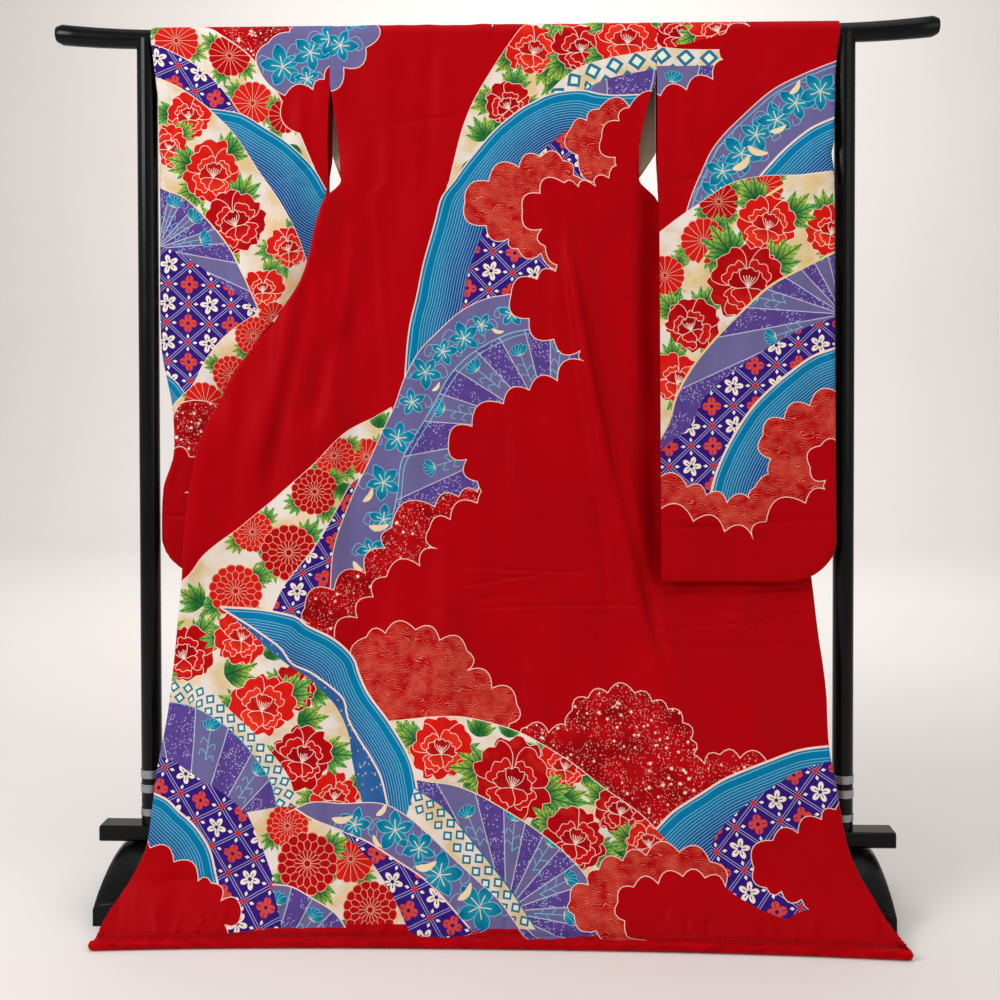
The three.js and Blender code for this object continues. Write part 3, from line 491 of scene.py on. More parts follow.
class Board:
    """A flat board of cloth and what is dyed on it, in painting order."""

    def __init__(self, seed):
        self.patches = []
        self.plain = None
        self.chance = random.Random(seed)

    def paint(self, points, finish, place=None, inside=None):
        points = np.asarray(points, float)
        self.patches.append(Patch(points, finish, place, inside, points.min(0), points.max(0)))
        return len(self.patches) - 1

    def line(self, points, width, finish="resist_line", inside=None, closed=False):
        out = sideways(points, closed) * width / 2
        left, right = points + out, points - out
        if closed:
            left, right = np.concatenate([left, left[:1]]), np.concatenate([right, right[:1]])
        return self.paint(np.concatenate([left, right[::-1]]), finish, inside=inside)

    def band(self, outer, inner, finish, edge=2.2, place=None, inside=None):
        """Pattern between two flowing lines, read along and away from the outer one."""
        outer, inner = flowing(outer), flowing(inner)
        patch = self.paint(np.concatenate([outer, inner[::-1]]), finish, place or along(outer), inside)
        if edge:
            self.line(outer, edge, inside=inside)
        return patch

    def cloud(self, cusps, finish, place=None, edge=1.5, swell=0.36, inside=None):
        """A cloud whose edge swells in a lobe between each two near cusps, and runs straight elsewhere."""
        cusps = np.asarray(cusps, float)
        x, y = cusps[:, 0], cusps[:, 1]
        turning = np.sign(np.sum(x * np.roll(y, -1) - np.roll(x, -1) * y))
        points, lobed = [], []
        for a, b in zip(cusps, np.roll(cusps, -1, 0)):
            chord = b - a
            size = np.linalg.norm(chord)
            out = np.array([chord[1], -chord[0]]) * turning
            lobe = size < LONGEST_LOBE
            steps = max(3, int(size / 7)) if lobe else 1
            arc = []
            for t in np.arange(steps) / steps:
                arc.append(a + chord * t + out * (swell * 4 * t * (1 - t) if lobe else 0.0))
            points += arc
            if lobe and edge:
                lobed.append(np.array(arc + [b]))
        for arc in lobed:
            self.line(arc, 2 * edge, inside=ON_PATTERN if finish == "red_silk" else inside)
        return self.paint(points, finish, place, inside)

    def shape(self, outline, at, turn, length, width=1.0, wobble=0.0, step=0.12):
        """A small outline set down at a point: turn 0 points up the cloth."""
        local = np.array([[x * width + self.chance.uniform(-wobble, wobble),
                           y + self.chance.uniform(-wobble, wobble) * (0.3 < y)] for x, y in outline])
        local = flowing(local, closed=True, step=step) * length
        c, s = math.cos(turn), math.sin(turn)
        across, up = local[:, 0], local[:, 1]
        return np.stack([at[0] + across * c + up * s, at[1] + across * s - up * c], 1)

    def petal(self, at, turn, length, width, place, inside, finish="petal", rim=1.15):
        outline = self.shape(PETAL, at, turn, length, width, 0.035)
        self.paint(outline, "resist_line", inside=inside)
        self.paint(shrunk(outline, rim), finish, place, inside)

    def peony(self, x, y, size, turn=0.0, tone=0, inside=None, leaves=(-2.3, -0.9, 0.8, 2.2)):
        """A peony: leaves, a ring of back petals, a tighter ring, a cup in front and its stamens."""
        turn = turn + self.chance.uniform(-0.2, 0.2)
        for angle in leaves:
            angle = angle + turn
            self.leaf(x + 0.6 * size * math.sin(angle), y - 0.6 * size * math.cos(angle),
                      size * self.chance.uniform(0.8, 1.0), angle + self.chance.uniform(-0.3, 0.3), inside)
        place = around((x, y), 0.0, size, tone)
        bright = around((x, y), 0.0, size, tone + 1)
        for i in (0, 2, 4, 1, 3, 5):
            angle = turn + (i + 0.22 * self.chance.uniform(-1, 1)) * math.tau / 6
            self.petal((x, y), angle, size * self.chance.uniform(0.84, 1.08), 1.05, place, inside)
        for i in range(4):
            angle = turn + 0.6 + i * math.tau / 4
            foot = (x + 0.06 * size * math.sin(angle), y + 0.12 * size - 0.06 * size * math.cos(angle))
            self.petal(foot, angle, size * self.chance.uniform(0.56, 0.68), 1.05, bright, inside)
        heart = (x, y + 0.18 * size)
        for angle in (-1.0, 1.05, 0.0):
            self.petal(heart, turn + angle, size * 0.5, 0.95, place, inside)
        for angle in (-0.5, -0.25, 0.0, 0.25, 0.5):
            reach = size * self.chance.uniform(0.24, 0.34)
            tip = (heart[0] + reach * math.sin(turn + angle), heart[1] - reach * math.cos(turn + angle))
            self.line(np.array([heart, tip]), 1.4, inside=inside)
        for angle in (2.5, 3.6):
            self.petal(heart, turn + angle, size * 0.42, 1.25, bright, inside)

    def leaf(self, x, y, size, turn, inside=None):
        """A leaf of five pointed lobes that share one foot, the outer ones under the middle one."""
        for i in (-2, 2, -1, 1, 0):
            angle = turn + i * 0.42
            length = size * 1.18 * (1.0 - 0.13 * abs(i)) * self.chance.uniform(0.92, 1.06)
            place = around((x, y), angle, length, self.chance.randint(0, 1))
            self.paint(self.shape(LOBE, (x, y), angle, length, 1.08), "leaf", place, inside)

    def mum(self, x, y, size, kind=0, inside=None, leaves=(-2.2, 0.9, 2.6)):
        """A chrysanthemum seen from the front; kind 0 and 1 have one ring of petals, 2 and 3 have three."""
        for angle in leaves:
            self.leaf(x + 0.7 * size * math.sin(angle), y - 0.7 * size * math.cos(angle),
                      size * 0.8, angle + self.chance.uniform(-0.4, 0.4), inside)
        count = 16
        theta = np.arange(count * 5) * math.tau / (count * 5)
        reach = size * (0.93 + 0.09 * np.abs(np.sin(theta * count / 2)) ** 0.6)
        points = np.stack([x + reach * np.cos(theta), y + reach * np.sin(theta)], 1)
        self.paint(points, "chrysanthemum", around((x, y), 0.0, size, kind), inside)

    def bluebell(self, x, y, size, turn=0.0, inside=None, petals=5):
        """A pale blue flower of pointed petals with tendrils about it."""
        size = 1.18 * size
        for side in (-1, 1):
            curl = [(x, y), (x + side * 0.9 * size, y - 0.5 * size), (x + side * 1.3 * size, y + 0.1 * size),
                    (x + side * 0.95 * size, y + 0.35 * size), (x + side * 0.85 * size, y)]
            self.line(flowing(curl, step=4), 1.1, "pale_teal_line", inside)
        for i in range(petals):
            angle = turn + i * math.tau / petals
            outline = self.shape(BLADE, (x, y), angle, size * self.chance.uniform(0.9, 1.1), 1.5, 0.02)
            self.paint(outline, "pale_teal_line", inside=inside)
            self.paint(shrunk(outline, 1.2), "teal_petal", around((x, y), 0.0, size), inside)
            tip = (x + 0.5 * size * math.sin(angle), y - 0.5 * size * math.cos(angle))
            self.line(np.array([(x, y), tip]), 1.8, inside=inside)

    def crescent(self, x, y, size, turn=0.0, inside=None):
        self.paint(self.shape(CRESCENT, (x, y), turn, size * 1.45, 1.0), "cream", inside=inside)

    def carnation(self, pivot, angle, radius, size, inside=None):
        """A small flower on a stem that runs along a fan rib."""
        out = np.array([math.sin(angle), -math.cos(angle)])
        across = np.array([-out[1], out[0]])
        head = np.array(pivot) + out * radius
        self.line(np.array([head, head - out * size * 2.4]), 1.3, "pale_teal_line", inside)
        for k, side in enumerate((-1, 1, -1, 1)):
            foot = head - out * size * (1.0 + 0.45 * k)
            curl = [foot, foot + across * side * size * 0.5 + out * size * 0.35,
                    foot + across * side * size * 0.62 - out * size * 0.1]
            self.line(flowing(curl, step=4), 1.2, "pale_teal_line", inside)
        for i in range(5):
            turn = angle + (i - 2) * 0.42
            outline = self.shape(BLADE, head, turn, size, 1.25)
            self.paint(outline, "pale_teal_line", inside=inside)
            self.paint(shrunk(outline, 0.8), "teal_petal", around(head, 0.0, size), inside)
        self.line(np.array([head - across * size * 0.3, head + across * size * 0.3]), 1.6, "cream", inside)

    def fan(self, pivot, outline, first, last, radius):
        """A folding fan's leaf: ribs that run out from its pivot, every second one with a small flower."""
        ribs = self.paint(outline, "fan_leaf", around(pivot))
        for rib in range(math.floor(first / FAN_PITCH), math.ceil(last / FAN_PITCH)):
            if rib % 2 == 0:
                angle = (rib + 0.5) * FAN_PITCH
                self.carnation(pivot, angle, radius(angle), 23.0, ribs)
        return ribs

    def strew(self, motif, inside, *places, **ways):
        """The same motif at each place: across, down, size, turn or kind, and tone where it has one."""
        for place in places:
            motif(*place, inside=inside, **ways)

    def scatter_specks(self, patch, count, size=3.2):
        """Little five-petalled blossoms strewn inside a patch."""
        low, high = self.patches[patch].low, self.patches[patch].high
        for _ in range(count):
            x, y = (self.chance.uniform(low[k], high[k]) for k in (0, 1))
            r = size * self.chance.uniform(0.6, 1.4)
            theta = np.arange(10) * math.tau / 10 + self.chance.uniform(0, 1)
            reach = r * np.where(np.arange(10) % 2, 0.5, 1.0)
            points = np.stack([x + reach * np.cos(theta), y + reach * np.sin(theta)], 1)
            self.paint(points, "speck", inside=patch)


def turned(angle):
    """Lattice coordinates turned on the cloth."""
    return around((0, 0), angle, 1000.0)


def closed_off(line, corners):
    """The ground between a flowing line and straight corners."""
    return np.concatenate([flowing(line), corners])


def between(line, other):
    """The ground between two flowing lines."""
    return np.concatenate([flowing(line), flowing(other)[::-1]])


# The angle of one fan rib.
FAN_PITCH = 0.25


def body_print():
    """The pattern of the body, from the centre back seam (x 0) out to both open edges."""
    b = Board(3)
    # The fronts carry no pattern beside the armholes, where no seam joins them to the backs.
    b.plain = lambda across, down: (np.abs(across) > BACK) & (down < down_at(SLIT_ROW))
    # Lavender cloud end at the left shoulder.
    lavender = b.cloud([(-330, -120), (-236, -90), (-228, -35), (-238, 25), (-280, 62), (-330, 105)],
                       "lavender")
    b.bluebell(-285, 20, 28, 0.4, lavender)
    b.bluebell(-262, -35, 26, 1.0, lavender)

    # The great fan over the back: cream edge with peonies, lozenges, ribs, and a blue sweep.
    edge = [(60, -20), (30, 22), (-6, 78), (-42, 142), (-66, 207), (-88, 295)]
    blue = [(330, 118), (225, 121), (170, 111), (122, 116), (86, 130), (50, 150), (5, 186), (-32, 226),
            (-66, 270), (-90, 308)]
    cream = b.band([(330, -150), (200, -135), (110, -85)] + edge, blue, "gold_cream", 2.4)
    b.strew(b.peony, cream, (75, 32, 56, 0.2, 1), (165, 28, 52, -0.1, 3), (250, 12, 62, 0.1, 1),
            (32, 138, 48, -0.5, 3), (140, -70, 56, 2.8, 1), (245, -95, 54, 3.3, 3))
    b.leaf(-12, 205, 46, -0.5, cream)
    b.leaf(118, 92, 44, 3.0, cream)
    b.leaf(-50, 245, 40, 2.7, cream)
    lozenge = [(330, 32), (280, 38), (220, 49), (165, 65), (130, 90), (106, 117)]
    ribs = [(330, 72), (280, 75), (210, 91), (170, 111), (122, 118)]
    b.band(lozenge, ribs, "lozenges", 1.2, enlarged(lozenge, 1.6))
    b.fan((300, 430), closed_off(ribs, [(225, 122), (330, 119)]), -0.4, 0.3, lambda angle: 336)
    outer = blue + [(-106, 362), (-130, 432), (-146, 507), (-161, 572), (-170, 668)]
    inner = [(330, 136), (230, 150), (180, 170), (135, 200), (90, 240), (35, 295), (-5, 355), (-30, 412),
             (-50, 475), (-62, 532), (-102, 596), (-134, 668)]
    b.paint(closed_off([(150, 190), (90, 240), (35, 295), (-5, 355), (-30, 412), (-50, 475), (-64, 545)],
                       [(60, 530), (210, 430), (230, 250)]), "lattice", turned(0.1))
    b.band(outer, inner, "blue_sweep", 2.6)
    b.cloud([(270, 145), (210, 149), (190, 170), (160, 183), (178, 235), (240, 284), (300, 230)], "wave_cloud")
    b.cloud([(165, 275), (145, 248), (100, 240), (55, 260), (-8, 286), (-50, 325), (-12, 370), (30, 396),
             (48, 415), (92, 424), (152, 442), (190, 360)], "wave_cloud")

    # Cream sweep with chrysanthemums and peonies over the left hip.
    hip = [(-195, 722), (-230, 742), (-286, 772), (-342, 830), (-416, 895), (-482, 950), (-552, 1003),
           (-602, 1060), (-730, 1128)]
    cream = b.paint(closed_off(hip, [(-730, 1480), (-395, 1495), (-200, 1480), (-250, 1250), (-360, 1140),
                                     (-270, 900), (-190, 780)]), "gold_cream")
    b.line(flowing(hip), 2.2)
    b.strew(b.mum, cream, (-245, 818, 36, 0), (-305, 815, 38, 2), (-342, 884, 45, 3), (-462, 962, 40, 2),
            (-392, 1002, 55, 3), (-497, 1078, 52, 2), (-660, 1180, 50, 3))
    b.strew(b.leaf, cream, (-222, 762, 40, 0.2), (-296, 872, 38, 2.6), (-560, 1105, 52, -1.0),
            (-515, 1240, 60, 1.2), (-432, 1205, 40, 0.6), (-372, 1325, 52, 1.4))
    b.strew(b.peony, cream, (-594, 1198, 58, -0.4, 3), (-486, 1165, 52, 0.5, 1), (-378, 1262, 46, 0.8, 3),
            (-440, 1292, 66, 0.1, 1), (-300, 1460, 46, 0.2, 1), (-362, 1388, 62, 0.3, 3),
            (-700, 1250, 56, 0.4, 1), leaves=(-1.9, 1.1))
    b.band([(-264, 862), (-276, 872), (-306, 930), (-342, 990), (-402, 1066), (-428, 1118)],
           [(-260, 860), (-270, 915), (-295, 980), (-312, 1025), (-324, 1078), (-362, 1132)],
           "lattice", 1.6, turned(0.3))

    # The second fan, seen from its side: a flowered lavender edge and ribs.
    outer = [(170, 462), (50, 500), (-10, 511), (-60, 535), (-100, 570), (-140, 611), (-170, 665), (-190, 720),
             (-212, 765), (-241, 830), (-266, 880), (-288, 937), (-307, 1000), (-314, 1080)]
    inner = [(150, 556), (75, 570), (30, 580), (-20, 604), (-60, 634), (-88, 668), (-122, 730), (-160, 793),
             (-178, 832), (-184, 884), (-196, 940), (-218, 1015)]
    b.fan((110, 766), closed_off(inner, [(-60, 960), (120, 900), (240, 700)]), -1.95, 0.5,
          lambda angle: 152 + 52 * max(0, -0.3 - angle))
    lavender = b.band(outer, inner, "lavender", 1.6)
    b.line(flowing(inner), 2.0, "pale_teal_line")
    b.line(flowing(inner) + (7, 7), 1.6, "pale_teal_line")
    b.strew(b.bluebell, lavender, (36, 541, 22, 0.0), (-22, 563, 20, 0.5), (-56, 588, 27, 0.9),
            (-96, 614, 24, 0.2), (-130, 654, 28, 0.6), (-156, 712, 25, 1.1), (-184, 782, 30, 0.2),
            (-212, 868, 31, 0.8), (-212, 940, 25, 0.1), (-236, 1000, 24, 0.9))
    b.strew(b.crescent, lavender, (-2, 570, 16, 1.5), (-118, 690, 15, 0.4), (-252, 905, 22, 0.3),
            (-240, 952, 26, 1.2), (-270, 1020, 22, 2.0), (-262, 1050, 24, 1.0))

    # A speckled cloud under the fan, and the plain red that bites into all of these.
    speckled = b.cloud([(10, 868), (-30, 887), (-66, 896), (-112, 916), (-196, 956), (-207, 996), (-246, 1045),
                        (-306, 1076), (-362, 1110), (-352, 1140), (-240, 1250), (60, 1000)], "speckled_cloud")
    b.scatter_specks(speckled, 150)
    b.cloud([(330, 127), (270, 145), (255, 171), (225, 202), (255, 240), (275, 262), (240, 281), (205, 297),
             (170, 298), (145, 290), (90, 310), (55, 344), (92, 378), (100, 411), (152, 441), (120, 461),
             (85, 476), (35, 506), (70, 550), (117, 590), (168, 612), (176, 634), (124, 672), (70, 690),
             (20, 716), (-40, 760), (-85, 791), (-50, 822), (-30, 865), (14, 884), (-30, 908), (-82, 940),
             (-122, 956), (-106, 996), (-141, 1030), (-206, 1051), (-231, 1090), (-262, 1131), (-305, 1166),
             (-262, 1320), (730, 1330), (730, 127)], "red_silk")

    # The low centre: clouds of waves and specks, a fan with peonies, and bands that cross it.
    b.cloud([(-262, 1225), (-245, 1168), (-208, 1160), (-150, 1152), (-103, 1170), (-52, 1190), (-52, 1228),
             (-5, 1262), (42, 1290), (28, 1326), (-30, 1350), (-200, 1345)], "wave_cloud")
    speckled = b.cloud([(52, 1352), (62, 1332), (102, 1342), (150, 1343), (148, 1300), (178, 1278), (215, 1270),
                        (265, 1270), (297, 1284), (326, 1296), (352, 1320), (366, 1350), (370, 1376),
                        (334, 1396),
                        (390, 1396), (420, 1380), (456, 1386), (505, 1390), (300, 1520), (200, 1470)],
                       "speckled_cloud")
    b.scatter_specks(speckled, 210)
    leaf = [(-150, 1428), (-85, 1436), (-30, 1456), (30, 1490), (80, 1521), (130, 1561), (171, 1611),
            (190, 1695)]
    cream = b.band([(-205, 1326), (-160, 1320), (-95, 1312), (-30, 1320), (55, 1346), (135, 1390), (200, 1440),
                    (260, 1482), (296, 1516), (345, 1568)], leaf, "gold_cream", 3.2)
    b.strew(b.leaf, cream, (-160, 1358, 42, -0.6), (-32, 1350, 46, 0.3), (26, 1352, 36, 0.2),
            (-52, 1424, 40, 2.4), (122, 1462, 48, 1.7), (76, 1492, 40, 2.6), (190, 1424, 42, 0.3),
            (212, 1556, 50, 1.8))
    b.strew(b.peony, cream, (-100, 1370, 58, 0.0, 1), (130, 1400, 48, 0.3, 1), (32, 1430, 76, 0.1, 3),
            (146, 1532, 60, 0.2, 3), (230, 1480, 50, 0.4, 3), (282, 1538, 48, 0.1, 1), leaves=(-1.4, 1.8))
    b.fan((16, 1660), closed_off(leaf, [(60, 1720), (-70, 1560), (-165, 1430)]), -0.65, 1.6,
          lambda angle: 164 - 36 * angle)
    b.line(flowing(leaf), 2.0, "cream")

    # Blue sweep and a flower-diamond corner at the lower right, bitten by a plain red cloud.
    inner = [(340, 1562), (386, 1568), (400, 1531), (430, 1496), (480, 1456), (535, 1422), (585, 1401),
             (640, 1389), (730, 1380)]
    b.paint(closed_off(inner[1:], [(730, 1660), (582, 1644), (536, 1656), (524, 1666), (480, 1651),
                                                 (440, 1631), (405, 1606)]), "lattice", turned(-0.15))
    b.band([(296, 1516), (341, 1476), (400, 1436), (456, 1410), (510, 1388), (570, 1371), (640, 1362),
            (730, 1352)],
           inner, "blue_sweep", 4.0)
    b.cloud([(730, 1470), (626, 1478), (600, 1496), (555, 1520), (508, 1532), (470, 1580), (490, 1613),
             (516, 1619),
             (551, 1633), (583, 1644), (620, 1672), (730, 1700)], "red_silk")
    b.cloud([(168, 1613), (188, 1586), (232, 1571), (276, 1562), (336, 1556), (390, 1571), (414, 1615),
             (340, 1650), (290, 1700), (178, 1690), (140, 1664), (134, 1640)], "wave_cloud")
    b.cloud([(416, 1614), (380, 1600), (340, 1598), (295, 1611), (250, 1616), (220, 1641), (231, 1673),
             (266, 1708),
             (520, 1790)], "red_silk")

    # The low left: crossing bands, the third fan, and the lattice that hangs to the hem.
    strip = [(-730, 1236), (-615, 1250), (-556, 1262), (-496, 1310), (-440, 1356), (-386, 1425), (-368, 1485)]
    ribs = [(-730, 1276), (-620, 1289), (-570, 1300), (-516, 1330), (-470, 1366), (-436, 1405), (-416, 1441),
            (-404, 1492)]
    lattice = [(-730, 1372), (-630, 1390), (-566, 1420), (-500, 1460), (-466, 1491), (-441, 1526), (-420, 1576),
               (-400, 1631), (-388, 1690)]
    b.band(strip, ribs, "lozenges", 0)
    b.fan((-568, 1588), between(ribs, lattice), -0.8, 1.1,
          lambda angle: 258 - 80 * max(0, angle))
    b.line(flowing(ribs), 1.6, "pale_teal_line")
    blue = [(-730, 1440), (-630, 1461), (-590, 1490), (-556, 1520), (-530, 1560), (-516, 1611), (-506, 1655),
            (-500, 1700)]
    b.paint(between(lattice, blue), "lattice", turned(0.25))
    b.band(blue, [(-730, 1640), (-600, 1640), (-520, 1700)], "blue_sweep", 4.0)
    b.cloud([(-730, 1540), (-684, 1548), (-641, 1556), (-596, 1580), (-551, 1614), (-526, 1617), (-507, 1647),
             (-468, 1664), (-496, 1684), (-520, 1745), (-730, 1745)], "red_silk")
    cream = b.paint(closed_off([(-462, 1489), (-406, 1481), (-370, 1481), (-340, 1501), (-300, 1516),
                                (-265, 1541), (-230, 1571), (-205, 1611), (-185, 1646), (-158, 1684)],
                               [(-278, 1684), (-300, 1664), (-390, 1655), (-440, 1535)]), "gold_cream")
    b.strew(b.mum, cream, (-386, 1514, 40, 2), (-268, 1572, 42, 0), (-348, 1580, 56, 3), (-232, 1660, 50, 3))
    edge = [(-412, 1618), (-376, 1621), (-336, 1641), (-297, 1664), (-276, 1690)]
    b.fan((-420, 1790), closed_off(edge, [(-392, 1690)]), 0, 0.8, lambda angle: 140)
    b.line(flowing(edge), 2.2)
    outer = [(-528, 1109), (-445, 1114), (-382, 1126), (-358, 1144), (-306, 1171), (-271, 1206), (-258, 1240),
             (-240, 1276), (-200, 1326), (-162, 1386), (-146, 1440), (-136, 1512)]
    inner = [(-526, 1111), (-470, 1145), (-412, 1181), (-385, 1215), (-350, 1232), (-311, 1260), (-286, 1286),
             (-278, 1320), (-255, 1361), (-234, 1391), (-212, 1430), (-200, 1476)]
    b.band(inner, [(-386, 1222), (-350, 1244), (-322, 1272), (-297, 1302), (-276, 1350), (-268, 1400),
                   (-248, 1476)], "blue_speckle", 3.2)
    b.band(outer, inner, "blue_sweep", 4.0)
    b.line(flowing(inner), 3.6)
    strip = [(-150, 1444), (-100, 1474), (-50, 1530), (-5, 1585), (30, 1630), (70, 1690)]
    upper = [(-388, 1491), (-340, 1471), (-280, 1475), (-210, 1475), (-165, 1495), (-125, 1526), (-76, 1570),
             (-30, 1611), (5, 1643), (40, 1690)]
    lower = [(-372, 1483), (-340, 1501), (-290, 1521), (-236, 1543), (-180, 1576), (-125, 1611), (-90, 1646),
             (-50, 1690)]
    b.band(strip, upper[4:], "lozenges", 2.0)
    b.line(flowing(strip), 2.4, "teal_petal")
    b.paint(closed_off(lower[2:], [(-12, 1690), (-95, 1714), (-160, 1697), (-195, 1626),
                                                 (-230, 1576)]), "lattice", turned(0.3))
    lavender = b.band(upper, lower, "lavender", 1.6)
    b.line(flowing(lower), 3.0)
    b.strew(b.bluebell, lavender, (-262, 1512, 24, 0.3), (-186, 1521, 33, 0.0), (-142, 1553, 28, 0.7),
            (-104, 1598, 36, 0.2), (-32, 1652, 38, 0.5))
    b.strew(b.crescent, lavender, (-304, 1500, 26, 1.2), (-222, 1496, 20, 0.4), (-150, 1585, 28, 1.0),
            (-72, 1640, 26, 0.4), (-226, 1530, 18, 2.2))
    return b


def left_sleeve_print():
    """The left sleeve, from its body edge (x 0) to its cuff, near face below 0 and far face above."""
    b = Board(5)
    cream = b.paint(closed_off([(400, -60), (262, -36), (186, 10), (146, 46), (96, 120), (60, 180), (30, 250),
                                (8, 296)], [(60, 300), (200, 180), (400, 60)]), "gold_cream")
    b.strew(b.mum, cream, (288, 8, 42, 0), (190, 38, 40, 1), (150, 130, 42, 0), (84, 155, 34, 1))
    b.leaf(60, 212, 34, 2.6, cream)
    b.line(flowing([(262, -36), (186, 10), (146, 46), (96, 120), (60, 180), (30, 250), (8, 296)]), 2.4)
    dotted = b.paint([(240, -70), (60, -60), (60, 0), (142, 44), (186, 8)], "speckled_cloud")
    b.scatter_specks(dotted, 50)
    lavender = b.cloud([(140, 46), (115, 15), (75, -6), (35, -60), (-20, -90), (-20, 62), (10, 86), (32, 106),
                        (84, 116)], "lavender", swell=0.14)
    b.strew(b.bluebell, lavender, (90, 60, 36, 0.2), (36, 34, 30, 0.8), (0, 8, 28, 0.3), (44, 84, 22, 1.4))
    b.cloud([(-20, 58), (10, 86), (32, 106), (86, 116), (50, 190), (-20, 190)], "red_silk", swell=0.3)
    b.band([(400, -20), (345, 10), (305, 26), (250, 60), (214, 96), (172, 152)],
           [(400, 60), (342, 76), (296, 95), (254, 125), (206, 160)], "lattice", 1.6, turned(-0.35))
    b.band([(236, 140), (175, 150), (130, 175), (76, 210), (30, 255), (4, 298)],
           [(230, 146), (185, 190), (140, 255), (95, 320), (65, 376), (45, 432), (30, 470)], "blue_sweep", 1.8)
    inner = [(400, 240), (335, 290), (286, 311), (240, 356), (200, 406), (170, 461), (138, 534)]
    cream = b.band([(400, 60), (341, 81), (291, 101), (231, 146), (186, 191), (141, 256), (96, 321), (66, 376),
                    (46, 431), (34, 470)], inner + [(100, 560)], "gold_cream", 2.4)
    b.strew(b.peony, cream, (276, 152, 48, 0.2, 1), (318, 212, 42, -0.2, 1), (78, 410, 46, 0.5, 1),
            (228, 262, 60, 0.0, 1), (184, 356, 64, 0.3, 3), (130, 490, 42, 0.2, 1), leaves=(-0.6, 1.3, 2.4))
    lattice = [(400, 400), (336, 406), (276, 431), (210, 481), (136, 534)]
    b.fan((342, 410), between(inner, lattice), -1.3, 1.4, lambda angle: 88)
    b.line(flowing(inner), 2.4, "cream")
    low = [(400, 780), (318, 706), (281, 676), (250, 631), (206, 581), (141, 536)]
    b.paint(between(lattice, low), "lattice", turned(-0.05))
    b.band([(400, 640), (330, 660), (300, 700)], [(400, 760), (318, 712)], "blue_sweep", 1.6)
    cream = b.band(low[::-1], [(34, 466), (70, 510), (110, 551), (136, 581), (166, 626), (206, 686), (238, 740),
                               (262, 790), (318, 800), (400, 820)], "gold_cream", 2.2)
    b.strew(b.mum, cream, (110, 545, 30, 0), (150, 582, 38, 2), (200, 660, 40, 2), (264, 716, 44, 0))
    speckled = b.cloud([(345, 800), (318, 716), (245, 716), (236, 780), (262, 840), (268, 915), (286, 950),
                        (345, 930)], "speckled_cloud", swell=0.1)
    b.scatter_specks(speckled, 80)
    b.cloud([(345, 812), (300, 820), (275, 850), (292, 890), (262, 930), (345, 960)], "red_silk")
    far_sleeve(b, 1)
    return b


